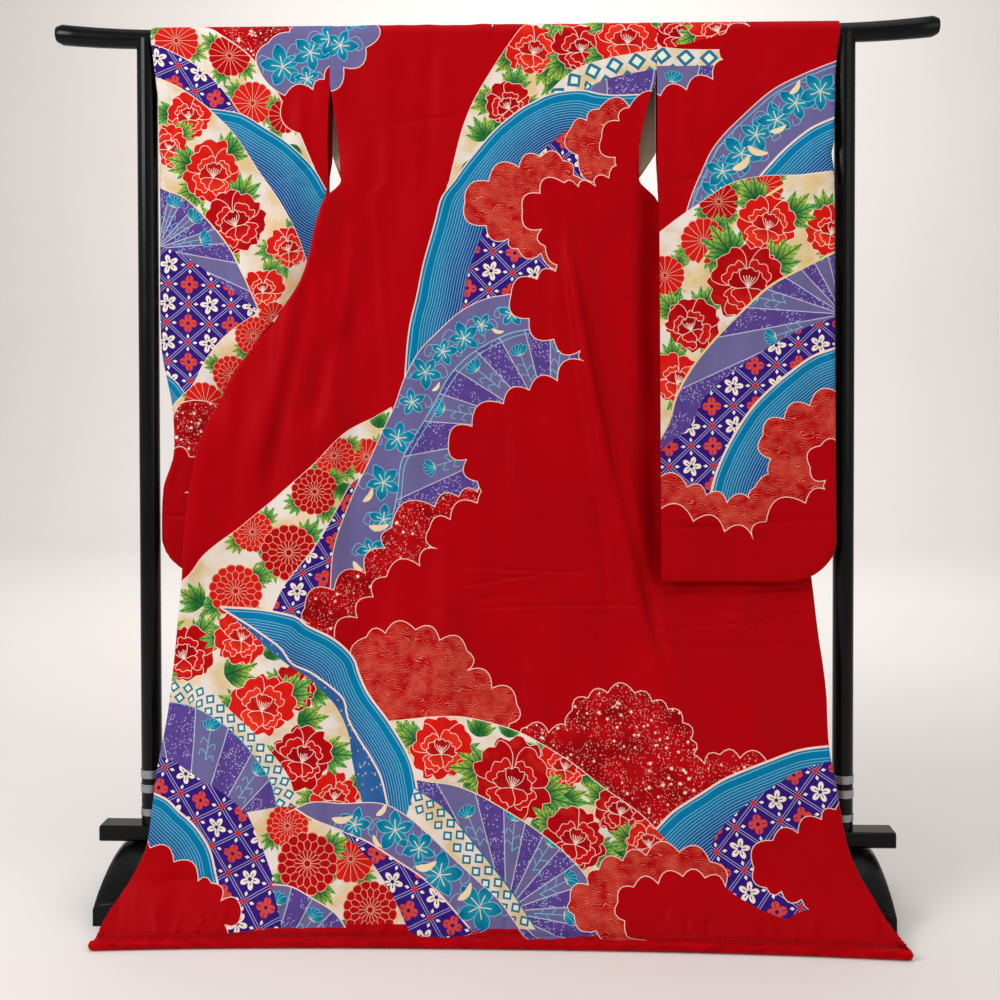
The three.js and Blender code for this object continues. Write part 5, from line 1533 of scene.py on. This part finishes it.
def linked(name, mesh):
    mesh.validate()
    piece = bpy.data.objects.new(name, mesh)
    bpy.context.scene.collection.objects.link(piece)
    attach(piece, "root")
    return piece


def crease_fill(creases):
    """Extra points along every crease, so that the cloth bends smoothly across it."""
    points = []
    for c in creases:
        start, run = np.array([c.u1, c.d1], float), np.array([c.u2 - c.u1, c.d2 - c.d1], float)
        size = np.hypot(*run)
        across = np.array([run[1], -run[0]]) / size
        for t in np.arange(-0.12, 1.12, 6.0 / size):
            wander = 0.5 * c.half * math.sin(5 * t + creases.index(c))
            points += [start + run * t + across * (k * c.half * 0.42 - wander) for k in range(-5, 6)]
    return np.array(points)


def body_fill(side, start):
    """Extra points where the body cloth turns sharply: along its folded sides and over the bar."""
    down = np.arange(max(start, down_at(SLIT_ROW)), HEM_DOWN - 1, 6.0)
    fold = fold_line(side, row_at(down))
    turns = [np.stack([side * (fold + k * 2.4), down], 1) for k in range(-5, 6)]
    saddle = staggered((-BACK, -OVER_BAR - 20), (BACK, 12), 6.0) if start < 0 else np.zeros((0, 2))
    return np.concatenate(turns + [saddle, crease_fill(BODY_CREASES + HEM_CREASES)])


def body_panel(name, side, s_from, s_to, top, hang):
    """One width of the body, cut from the shared board between two seams."""
    rows = np.linspace(row_at(top) if top >= 0 else 0, LAST_ROW, 240)
    down = np.interp(rows, FINE_ROWS, DOWN)
    down[0] = max(top, 0)
    outer = np.minimum(cloth_width(rows), s_to) if s_to > BACK else np.full(len(rows), s_to)
    keep = outer > s_from + TIP / 2
    down, outer = down[keep], outer[keep]
    head = []
    if top < 0:
        across = np.linspace(s_to, s_from, 44)
        x = across * SLEEVE_SEAM / BACK
        rise = np.where(x < NECK_HALF, NECK_RISE * np.sqrt(np.clip(1 - (x / NECK_HALF) ** 2, 0, 1)), 0)
        head = [(s, -(OVER_BAR + BAR_Z - SHOULDER - r)) for s, r in zip(across, rise)]
    s = np.concatenate([outer[::-1], [p[0] for p in head], np.full(len(down), s_from)])
    d = np.concatenate([down[::-1], [p[1] for p in head], down])
    s = np.concatenate([s, np.linspace(s_from, outer[-1], 60)[1:-1]])
    d = np.concatenate([d, np.full(58, down[-1])])
    outline = np.stack([side * s, d], 1)
    calm_edges = lambda u, v: smooth((np.abs(np.abs(u) - SLEEVE_SEAM) + np.maximum(v - 290, 0)) / 30)
    surface = creased(body_drape(s_to > BACK), BODY_CREASES + HEM_CREASES, -1, calm_edges)
    return sewn_panel(name, outline, BOARDS["body"], surface, -1, body_fill(side, top), hang,
                      lambda u, d: d > HEM_DOWN - HEM_FACING)


def sleeve_panel(name, side, hang):
    """One sleeve, cut as one cloth from its near foot over the bar to its far foot."""
    drape = sleeve_drape(side)
    f = np.linspace(0, 1, 90)
    low = drape.length(f)
    near = np.stack([f * SLEEVE_WIDTH, low], 1)
    up = np.linspace(low[-1], -OVER_BAR - low[-1], 360)[1:-1]
    far = np.stack([f[::-1] * SLEEVE_WIDTH, -OVER_BAR - low[::-1]], 1)
    back_up = np.linspace(-OVER_BAR - low[0], low[0], 360)[1:-1]
    outline = np.concatenate([near, np.stack([np.full(358, SLEEVE_WIDTH), up], 1), far,
                              np.stack([np.zeros(358), back_up], 1)])
    insets, down = (1.5, 3.5, 6.5), up[::2]
    beside = np.concatenate([np.stack([np.full(len(down), SLEEVE_WIDTH - k), down], 1) for k in insets]
                            + [near - (0, k) for k in insets] + [far + (0, k) for k in insets]
                            + [staggered((0, -OVER_BAR - 10), (SLEEVE_WIDTH, 12), 6.0)]
                            + [crease_fill(SLEEVE_CREASES)])

    def calm(a, d):
        """Creases fade out towards the cuff, the foot, the bar and, by part, the body edge."""
        past = np.abs(d + OVER_BAR / 2) - OVER_BAR / 2
        cuff = smooth((SLEEVE_WIDTH - a) / 26)
        foot = smooth((np.interp(a / SLEEVE_WIDTH, f, low) - past) / 26)
        return cuff * foot * smooth(past / 40) * (0.35 + 0.65 * smooth(a / 30))

    board = BOARDS["left sleeve" if side < 0 else "right sleeve"]
    return sewn_panel(name, outline, board, creased(drape, SLEEVE_CREASES, -side, calm), -side, beside, hang,
                      lambda a, d: a < SLEEVE_FACING)


BOARDS = {}


# ---------- Collar, padded hem and seams ----------

def tube(name, rings):
    """A closed skin over rings of points."""
    count, size = rings.shape[:2]
    faces = [(i * size + k, i * size + (k + 1) % size, (i + 1) * size + (k + 1) % size, (i + 1) * size + k)
             for i in range(count - 1) for k in range(size)]
    faces += [tuple(range(size))[::-1], tuple((count - 1) * size + k for k in range(size))]
    mesh = bpy.data.meshes.new(name)
    mesh.from_pydata((rings.reshape(-1, 3) * MM + (0, POST_PLANE * MM, 0)).tolist(), [], faces)
    shape = bmesh.new()
    shape.from_mesh(mesh)
    bmesh.ops.recalc_face_normals(shape, faces=shape.faces)
    shape.to_mesh(mesh)
    shape.free()
    mesh.polygons.foreach_set("use_smooth", np.ones(len(mesh.polygons), bool))
    return linked(name, mesh)


def collar_stations():
    """Where the collar's edge runs, which way its width lies, and the depth that it rests at."""
    drape = body_drape(True)
    def edge(side, row):
        return drape(np.array([side * cloth_width(row)]), np.array([down_at(row)]))[0]
    stations = []
    for side in (-1, 1):
        half = []
        for row in np.arange(SHOULDER_ROW, 17.01, 0.25):
            run = edge(side, row + 0.5) - edge(side, max(row - 0.5, SHOULDER_ROW))
            run = run * (1, 0, 1) / np.hypot(run[0], run[2])
            if row == SHOULDER_ROW:
                run = np.array([0.0, 0.0, -1.0])
            at, level = edge(side, row), np.array([side * run[2], 0, -side * run[0]])
            turn = COLLAR_TURN * (1 - float(smooth((SHOULDER - at[2]) / COLLAR_EASE)))
            way = level * math.cos(turn) - np.array([0, 0, math.sin(turn)])
            half.append((at, way / np.linalg.norm(way), side, row))
        if side < 0:
            stations += half[::-1]
            for angle in np.linspace(math.pi, 0, 26)[1:-1]:
                c, s = math.cos(angle), math.sin(angle)
                at = np.array([NECK_HALF * c, SADDLE, SHOULDER + NECK_RISE * s])
                turn = math.pi / 2 - (math.pi / 2 - COLLAR_TURN) * abs(c)
                stations.append((at, np.array([math.copysign(math.cos(turn), -c), 0, -math.sin(turn)]), 0, 0))
        else:
            stations += half
    return stations


def depth_behind(side, x, row):
    if side == 0:
        return SADDLE
    far = far_depth(side, x, row, row < SLIT_ROW)
    return float(far if row < SLIT_ROW else max(far, near_depth(side, x, row) + 2 * FOLD_RADIUS))


def collar_rings():
    across = [SEAM_GAP, 2, 10, 20, 29, 40, 50, 56, COLLAR_WIDTH - 0.5]
    rings = []
    for at, way, side, row in collar_stations():
        outer, inner = [], []
        for i, width in enumerate(across):
            point = at + way * width
            base = depth_behind(side, point[0], row) + 2 * SEAM_GAP
            soft = 0.5 if i in (0, len(across) - 1) else 0.0
            outer.append((point[0], base + COLLAR_CLOTH - 2 * soft, point[2]))
            inner.append((point[0], base + soft, point[2]))
        rings.append(outer + inner[::-1])
    return np.array(rings)


def hem_seam(x):
    """Where the padded roll is sewn on, at x."""
    side = -1 if x < HEM_SHIFT else 1
    s = min(abs(x - HEM_SHIFT), WHOLE)
    return lower_body(side, np.array([s]), np.array([float(LAST_ROW)]))[0]


def roll_rings(radius):
    rings, ends = [], (HEM_SHIFT - WHOLE, HEM_SHIFT + WHOLE)
    chance = random.Random(12)
    pull = [chance.uniform(-1, 1) for _ in range(400)]
    for x in np.linspace(ends[0], ends[1], 420):
        seam = hem_seam(x)
        past = min(x - ends[0], ends[1] - x)
        round_end = math.sqrt(max(0.0, 1 - max(0.0, 1 - past / 7) ** 2)) * 0.75 + 0.25
        pucker = np.interp(x / 11 + 80, range(400), pull) * 1.1
        pucker += 0.45 * math.sin(x / 6.1) + 0.3 * math.sin(x / 2.9 + 1)
        angles = (np.arange(24) + 0.5) * math.tau / 24
        reach = (radius + pucker * (0.4 + 0.6 * np.sin(angles))) * round_end
        low = np.where(np.sin(angles) < -0.6, 0.35, 0.0)
        rings.append(np.stack([np.full(24, x), seam[1] - radius - SEAM_GAP + reach * np.cos(angles),
                               radius + 0.5 + reach * np.sin(angles) + low], 1))
    return np.array(rings)


STITCH_NODES = {
    "given": "NodeGroupInput", "curve": "GeometryNodeMeshToCurve", "resample": "GeometryNodeResampleCurve",
    "bead": "GeometryNodeMeshUVSphere", "size": "ShaderNodeCombineXYZ", "shape": "GeometryNodeTransform",
    "tangent": "GeometryNodeInputTangent", "turn": "FunctionNodeAlignRotationToVector",
    "laid": "GeometryNodeInstanceOnPoints", "real": "GeometryNodeRealizeInstances",
    "finish": "GeometryNodeSetMaterial", "result": "NodeGroupOutput",
}
STITCH_LINKS = (
    ("given", "Geometry", "curve", "Mesh"), ("curve", "Curve", "resample", "Curve"),
    ("given", "Pitch", "resample", "Length"), ("given", "Stitch Length", "size", "X"),
    ("given", "Thread Radius", "size", "Y"), ("given", "Thread Radius", "size", "Z"),
    ("bead", "Mesh", "shape", "Geometry"), ("size", "Vector", "shape", "Scale"),
    ("tangent", "Tangent", "turn", "Vector"), ("resample", "Curve", "laid", "Points"),
    ("shape", "Geometry", "laid", "Instance"), ("turn", "Rotation", "laid", "Rotation"),
    ("laid", "Instances", "real", "Geometry"), ("real", "Geometry", "finish", "Geometry"),
    ("finish", "Geometry", "result", "Geometry"),
)


def running_stitch(material):
    """The node group that lays a long bead of thread at every pitch of a path, and its inputs' names."""
    tree = bpy.data.node_groups.new("running_stitch", "GeometryNodeTree")
    tree.interface.new_socket("Geometry", in_out="INPUT", socket_type="NodeSocketGeometry")
    tree.interface.new_socket("Geometry", in_out="OUTPUT", socket_type="NodeSocketGeometry")
    sockets = {label: tree.interface.new_socket(label, in_out="INPUT", socket_type="NodeSocketFloat").identifier
               for label in ("Pitch", "Stitch Length", "Thread Radius")}
    nodes = {key: tree.nodes.new(kind) for key, kind in STITCH_NODES.items()}
    nodes["resample"].mode, nodes["turn"].axis = "LENGTH", "X"
    for setting, value in (("Segments", 6), ("Rings", 4), ("Radius", 0.5)):
        nodes["bead"].inputs[setting].default_value = value
    nodes["finish"].inputs["Material"].default_value = material
    for source, output, target, socket in STITCH_LINKS:
        tree.links.new(nodes[source].outputs[output], nodes[target].inputs[socket])
    return tree, sockets


def stitched_seam(name, paths, stitch, pitch, radius, material):
    """Running stitches along paths, laid by geometry nodes and made a plain mesh."""
    mesh = bpy.data.meshes.new(name + "_path")
    points, edges = [], []
    for path in paths:
        edges += [(len(points) + i, len(points) + i + 1) for i in range(len(path) - 1)]
        points += path
    mesh.from_pydata(points, edges, [])
    holder = bpy.data.objects.new(name + "_path", mesh)
    bpy.context.scene.collection.objects.link(holder)
    tree, sockets = running_stitch(material)
    modifier = holder.modifiers.new("stitches", "NODES")
    modifier.node_group = tree
    for label, value in (("Pitch", pitch), ("Stitch Length", stitch), ("Thread Radius", 2 * radius)):
        modifier[sockets[label]] = value
    seen = holder.evaluated_get(bpy.context.evaluated_depsgraph_get())
    laid_mesh = bpy.data.meshes.new_from_object(seen)
    laid_mesh.name = name
    holder.modifiers.remove(modifier)
    bpy.data.objects.remove(holder)
    return linked(name, laid_mesh)


def lifted_path(surface, u, d, lift):
    points, normals = surface(np.asarray(u, float), np.asarray(d, float))
    return [tuple(p) for p in (points + normals * lift) * MM + (0, POST_PLANE * MM, 0)]


# ---------- Stand ----------

def polished(node, name, edge, material):
    """A part of the stand in its own true shape, with smooth sides and softened edges."""
    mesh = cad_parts[node].data.copy()
    mesh.name = name
    shape = bmesh.new()
    shape.from_mesh(mesh)
    bmesh.ops.remove_doubles(shape, verts=shape.verts, dist=0.00002)
    bmesh.ops.dissolve_limit(shape, angle_limit=0.002, verts=shape.verts, edges=shape.edges)
    shape.to_mesh(mesh)
    shape.free()
    mesh.polygons.foreach_set("use_smooth", np.ones(len(mesh.polygons), bool))
    mesh.set_sharp_from_angle(angle=0.6)
    mesh.materials.clear()
    mesh.materials.append(material)
    piece = linked(name, mesh)
    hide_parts(node)
    if edge:
        bevel = piece.modifiers.new("softened edges", "BEVEL")
        bevel.width, bevel.segments, bevel.limit_method, bevel.angle_limit = edge, 3, "ANGLE", 0.6
        bevel.harden_normals = True
    return piece


# ---------- Settings ----------

def tint(label, meaning, colour):
    return FloatVectorProperty(name=label, description=meaning, subtype="COLOR", size=3, min=0.0, max=1.0,
                               default=srgb(*colour))


class SilkSettings(bpy.types.PropertyGroup):
    """Colours and feel of the dyed silk."""
    red: tint("Red", "Ground of the garment", (178, 0, 9))
    deep_red: tint("Deep Red", "Ground where the dye took deeper", (152, 0, 8))
    gold: tint("Gold", "Gilded ground behind the flowers", (212, 186, 136))
    pale: tint("Pale Gold", "Worn patches of the gilded ground", (222, 214, 206))
    sky: tint("Sky Blue", "Outer edge of the blue sweeps", (0, 116, 160))
    ink: tint("Ink Blue", "Inner side of the blue sweeps", (10, 64, 134))
    indigo: tint("Indigo", "Ground of the flower diamonds", (44, 20, 112))
    lavender: tint("Lavender", "Fan edges and light ribs", (110, 102, 150))
    plum: tint("Plum", "Dark fan ribs", (92, 72, 138))
    leaf: tint("Leaf", "Heart of a leaf", (34, 104, 46))
    leaf_tip: tint("Leaf Tip", "Pale end of a leaf", (156, 192, 78))
    resist: tint("Resist Line", "Undyed outline", (238, 206, 190))
    lining: tint("Lining", "Silk inside the garment", (188, 170, 144))
    grain: FloatProperty(name="Crepe Grain", description="Ripples of the crepe in one metre", default=900.0,
                         min=200.0, max=3000.0)
    roughness: FloatProperty(name="Roughness", description="How dull the silk is", default=0.42, min=0.1, max=0.9,
                             subtype="FACTOR")
    sheen: FloatProperty(name="Sheen", description="Soft shine across the threads", default=0.01, min=0.0, max=1.0,
                         subtype="FACTOR")


class StandSettings(bpy.types.PropertyGroup):
    """Finish of the stand."""
    lacquer: tint("Lacquer", "Black lacquer", (5, 5, 6))
    silver: tint("Silver", "Plated bands on the posts", (176, 178, 184))
    gloss: FloatProperty(name="Gloss", description="Roughness of the lacquer", default=0.24, min=0.02, max=0.6,
                         subtype="FACTOR")
    edge: FloatProperty(name="Softened Edge", description="Width of the rounding on its edges", default=0.0016,
                        min=0.0002, max=0.004, unit="LENGTH")


class FurisodeSettings(bpy.types.PropertyGroup):
    """Sizes of the garment, and its finishes."""
    silk: PointerProperty(type=SilkSettings, name="Silk", description="Colours and feel of the dyed silk")
    stand: PointerProperty(type=StandSettings, name="Stand", description="Finish of the stand")
    cloth: FloatProperty(name="Cloth", description="Silk and lining together", default=CLOTH * MM, min=0.0005,
                         max=0.003, unit="LENGTH")
    board_pitch: FloatProperty(name="Board Pitch", description="Spacing of the cloth's own points", default=0.011,
                               min=0.006, max=0.03, unit="LENGTH")
    roll_radius: FloatProperty(name="Padded Hem Radius", description="Half the padded hem's thickness",
                               default=0.0088, min=0.004, max=0.009, unit="LENGTH")
    stitch: FloatProperty(name="Stitch", description="Length of one stitch", default=0.0042, min=0.001, max=0.01,
                          unit="LENGTH")
    stitch_pitch: FloatProperty(name="Stitch Pitch", description="From one stitch to the next", default=0.0068,
                                min=0.002, max=0.02, unit="LENGTH")
    thread: FloatProperty(name="Thread Radius", description="Half the thread's thickness", default=0.0008,
                          min=0.0002, max=0.001, unit="LENGTH")
    light: FloatProperty(name="Main Light", description="Power of the large soft light", default=72.0, min=1.0,
                         max=500.0, unit="POWER")


# ---------- Operators ----------

# In metres and radians: the camera's place, its turn (yaw, pitch, roll), and its lens, sensor and shift.
CAMERA_AT, CAMERA_TURN = (0.095, -2.544, 1.0133), (-0.0318, -0.0188, -0.0016)
CAMERA_LENS = (47.84, 36.0, -0.0963)
# Each lamp's name, place, aim, size, share of the light, and colour.
LAMPS = (
    ("main_light", (-2.6, -2.0, 2.4), (0, 0, 0.9), 1.4, 1.0, (1.0, 0.985, 1.0)),
    ("side_light", (2.9, -2.2, 1.7), (0, 0, 0.8), 2.0, 0.34, (1.0, 0.965, 0.86)),
    ("top_light", (0.2, -0.6, 3.3), (0, 0, 0.4), 2.4, 0.34, (1.0, 1.0, 1.0)),
    ("wall_light", (0.0, 3.0, 4.2), (0, 6.4, 1.0), 3.4, 2.15, (1.0, 0.98, 0.965)),
)
ROOM_COLOUR, ROOM_LIGHT = (1.0, 0.987, 0.985, 1), 0.44
FLOOR_START, FLOOR_HALF, WALL_FOOT, WALL_BEND, WALL_TOP = -9.0, 11.0, 5.4, 1.4, 9.0


class FURISODE_OT_stage(bpy.types.Operator):
    """Set the camera, the lights, and a plain floor that runs up into a wall"""
    bl_idname = "furisode.stage"
    bl_label = "Stage"

    def execute(self, context):
        settings = context.scene.furisode
        camera = bpy.data.objects.new("camera", bpy.data.cameras.new("camera"))
        yaw, pitch, roll = CAMERA_TURN
        ahead = Vector((math.sin(yaw) * math.cos(pitch), math.cos(yaw) * math.cos(pitch), math.sin(pitch)))
        level = Vector((math.cos(yaw), -math.sin(yaw), 0))
        up = level.cross(ahead)
        right = level * math.cos(roll) + up * math.sin(roll)
        up = up * math.cos(roll) - level * math.sin(roll)
        turn = Matrix((right, up, -ahead)).transposed().to_4x4()
        camera.matrix_world = Matrix.Translation(CAMERA_AT) @ turn
        camera.data.lens, camera.data.sensor_width, camera.data.shift_y = CAMERA_LENS
        context.scene.collection.objects.link(camera)
        context.scene.camera = camera
        for name, at, aim, size, share, colour in LAMPS:
            lamp = bpy.data.lights.new(name, "AREA")
            lamp.shape, lamp.size, lamp.energy, lamp.color = "SQUARE", size, settings.light * share, colour
            light = bpy.data.objects.new(name, lamp)
            light.location = at
            light.rotation_euler = (Vector(aim) - Vector(at)).to_track_quat("-Z", "Y").to_euler()
            context.scene.collection.objects.link(light)
        world = bpy.data.worlds.new("pale_room")
        world.use_nodes = True
        background = world.node_tree.nodes["Background"]
        background.inputs["Color"].default_value = ROOM_COLOUR
        background.inputs["Strength"].default_value = ROOM_LIGHT
        context.scene.world = world
        context.scene.view_settings.view_transform = "Standard"

        profile = [(FLOOR_START, 0.0), (WALL_FOOT, 0.0)]
        profile += [(WALL_FOOT + WALL_BEND * math.sin(a), WALL_BEND * (1 - math.cos(a)))
                    for a in np.linspace(0.1, math.pi / 2, 14)]
        profile += [(WALL_FOOT + WALL_BEND, WALL_TOP)]
        mesh = bpy.data.meshes.new("floor")
        mesh.from_pydata([(x, y, z) for y, z in profile for x in (-FLOOR_HALF, FLOOR_HALF)], [],
                         [(2 * i, 2 * i + 1, 2 * i + 3, 2 * i + 2) for i in range(len(profile) - 1)])
        mesh.polygons.foreach_set("use_smooth", np.ones(len(mesh.polygons), bool))
        f = Finish("pale_floor", 0.8, "object")
        mottle = f.noise(1.6, 4.0)
        f.bump(f.noise(240.0, 2.0), 0.05, 0.001)
        mesh.materials.append(f.colour(f.mix(mottle, srgb(238, 233, 230), srgb(233, 228, 224))))
        floor = bpy.data.objects.new("floor", mesh)
        context.scene.collection.objects.link(floor)
        return {"FINISHED"}


class FURISODE_OT_stand(bpy.types.Operator):
    """Finish the bar, posts, rail and feet in black lacquer, and the posts' bands in silver"""
    bl_idname = "furisode.stand"
    bl_label = "Stand"

    def execute(self, context):
        stand = context.scene.furisode.stand
        black, plate = lacquer(stand), silver(stand)
        nodes = ["top_bar", "rail", "post_left", "post_right", "foot_left", "foot_right"]
        bands = [f"band_{side}_{i}" for side in ("left", "right") for i in (1, 2, 3)]
        for node in nodes:
            polished(node, node + "_lacquer", stand.edge, black)
        for node in bands:
            polished(node, node + "_silver", stand.edge / 5, plate)
        return {"FINISHED"}


def hung_panel(node):
    """Hide the node of model.glb that a hung panel stands for."""
    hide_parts(node)


class FURISODE_OT_backs(bpy.types.Operator):
    """Cut, dye and hang the two back widths, which run over the bar"""
    bl_idname = "furisode.backs"
    bl_label = "Backs"

    def execute(self, context):
        BOARDS["body"] = body_print()
        over = -(OVER_BAR + BAR_Z - SHOULDER)
        for side, word in ((-1, "left"), (1, "right")):
            piece = body_panel(f"back_{word}_silk", side, 0.0, BACK, over, context.scene.furisode)
            hung_panel(f"back_{word}")
        return {"FINISHED"}


class FURISODE_OT_fronts(bpy.types.Operator):
    """Cut, dye and hang the two front widths, folded in behind the back"""
    bl_idname = "furisode.fronts"
    bl_label = "Fronts"

    def execute(self, context):
        top = down_at(SHOULDER_ROW) + SEAM_GAP
        for side, word in ((-1, "left"), (1, "right")):
            piece = body_panel(f"front_{word}_silk", side, BACK, FRONT, top, context.scene.furisode)
            hung_panel(f"front_{word}")
        return {"FINISHED"}


class FURISODE_OT_overlaps(bpy.types.Operator):
    """Cut, dye and hang the two tapering overlap widths"""
    bl_idname = "furisode.overlaps"
    bl_label = "Overlaps"

    def execute(self, context):
        rows = FINE_ROWS[cloth_width(FINE_ROWS) > FRONT + TIP]
        down, width = np.interp(rows, FINE_ROWS, DOWN), cloth_width(rows) - FRONT
        top = float(down[0])
        for side, word in ((-1, "left"), (1, "right")):
            piece = body_panel(f"overlap_{word}_silk", side, FRONT, WHOLE, top, context.scene.furisode)
            hung_panel(f"overlap_{word}")
        return {"FINISHED"}


class FURISODE_OT_sleeves(bpy.types.Operator):
    """Cut, dye and hang the long sleeves, each one cloth folded over the bar and sewn at edge and foot"""
    bl_idname = "furisode.sleeves"
    bl_label = "Sleeves"

    def execute(self, context):
        BOARDS["left sleeve"], BOARDS["right sleeve"] = left_sleeve_print(), right_sleeve_print()
        for side, word in ((-1, "left"), (1, "right")):
            piece = sleeve_panel(f"sleeve_{word}_silk", side, context.scene.furisode)
            hung_panel(f"sleeve_{word}")
        return {"FINISHED"}


class FURISODE_OT_collar(bpy.types.Operator):
    """Lay the folded collar band round the neck and down both fronts"""
    bl_idname = "furisode.collar"
    bl_label = "Collar"

    def execute(self, context):
        rings = collar_rings()
        piece = tube("collar_band", rings)
        piece.data.materials.append(collar_silk(context.scene.furisode.silk))
        hung_panel("collar")
        return {"FINISHED"}


class FURISODE_OT_hem_roll(bpy.types.Operator):
    """Lay the padded hem along the floor"""
    bl_idname = "furisode.hem_roll"
    bl_label = "Padded Hem"

    def execute(self, context):
        settings = context.scene.furisode
        piece = tube("padded_hem", roll_rings(settings.roll_radius / MM))
        piece.data.materials.append(padded_silk(settings.silk))
        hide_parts("hem_roll")
        return {"FINISHED"}


class FURISODE_OT_stitching(bpy.types.Operator):
    """Sew the running stitches above the padded hem"""
    bl_idname = "furisode.stitching"
    bl_label = "Stitching"

    def execute(self, context):
        settings = context.scene.furisode
        surface = creased(body_drape(True), BODY_CREASES + HEM_CREASES, -1, lambda u, d: 1.0)
        paths = []
        for side in (-1, 1):
            across = np.linspace(2, WHOLE - 6, 360)
            paths.append(lifted_path(surface, side * across, HEM_SEAM + 1.2 * np.sin(across / 21), 0.7))
        piece = stitched_seam("hem_stitches", paths, settings.stitch, settings.stitch_pitch, settings.thread,
                              thread(settings.silk))
        return {"FINISHED"}


OPERATORS = (
    FURISODE_OT_stage, FURISODE_OT_stand, FURISODE_OT_backs, FURISODE_OT_fronts, FURISODE_OT_overlaps,
    FURISODE_OT_sleeves, FURISODE_OT_collar, FURISODE_OT_hem_roll, FURISODE_OT_stitching)


class FURISODE_PT_panel(bpy.types.Panel):
    """The furisode's settings and the steps that build it"""
    bl_label = "Bridal Furisode"
    bl_idname = "FURISODE_PT_panel"
    bl_space_type = "VIEW_3D"
    bl_region_type = "UI"
    bl_category = "Furisode"

    def draw(self, context):
        settings = context.scene.furisode
        for group in (settings, settings.silk, settings.stand):
            box = self.layout.box()
            for name in group.__annotations__:
                if name not in ("silk", "stand"):
                    box.prop(group, name)
        for operator in OPERATORS:
            self.layout.operator(operator.bl_idname)


CLASSES = (SilkSettings, StandSettings, FurisodeSettings) + OPERATORS + (FURISODE_PT_panel,)


def register():
    for cls in CLASSES:
        bpy.utils.register_class(cls)
    bpy.types.Scene.furisode = PointerProperty(type=FurisodeSettings)


def unregister():
    del bpy.types.Scene.furisode
    for cls in reversed(CLASSES):
        bpy.utils.unregister_class(cls)


def main():
    register()
    bpy.ops.furisode.stage()
    bpy.ops.furisode.stand()
    bpy.ops.furisode.backs()
    bpy.ops.furisode.fronts()
    bpy.ops.furisode.overlaps()
    bpy.ops.furisode.sleeves()
    bpy.ops.furisode.collar()
    bpy.ops.furisode.hem_roll()
    bpy.ops.furisode.stitching()


if __name__ == "__main__":
    main()
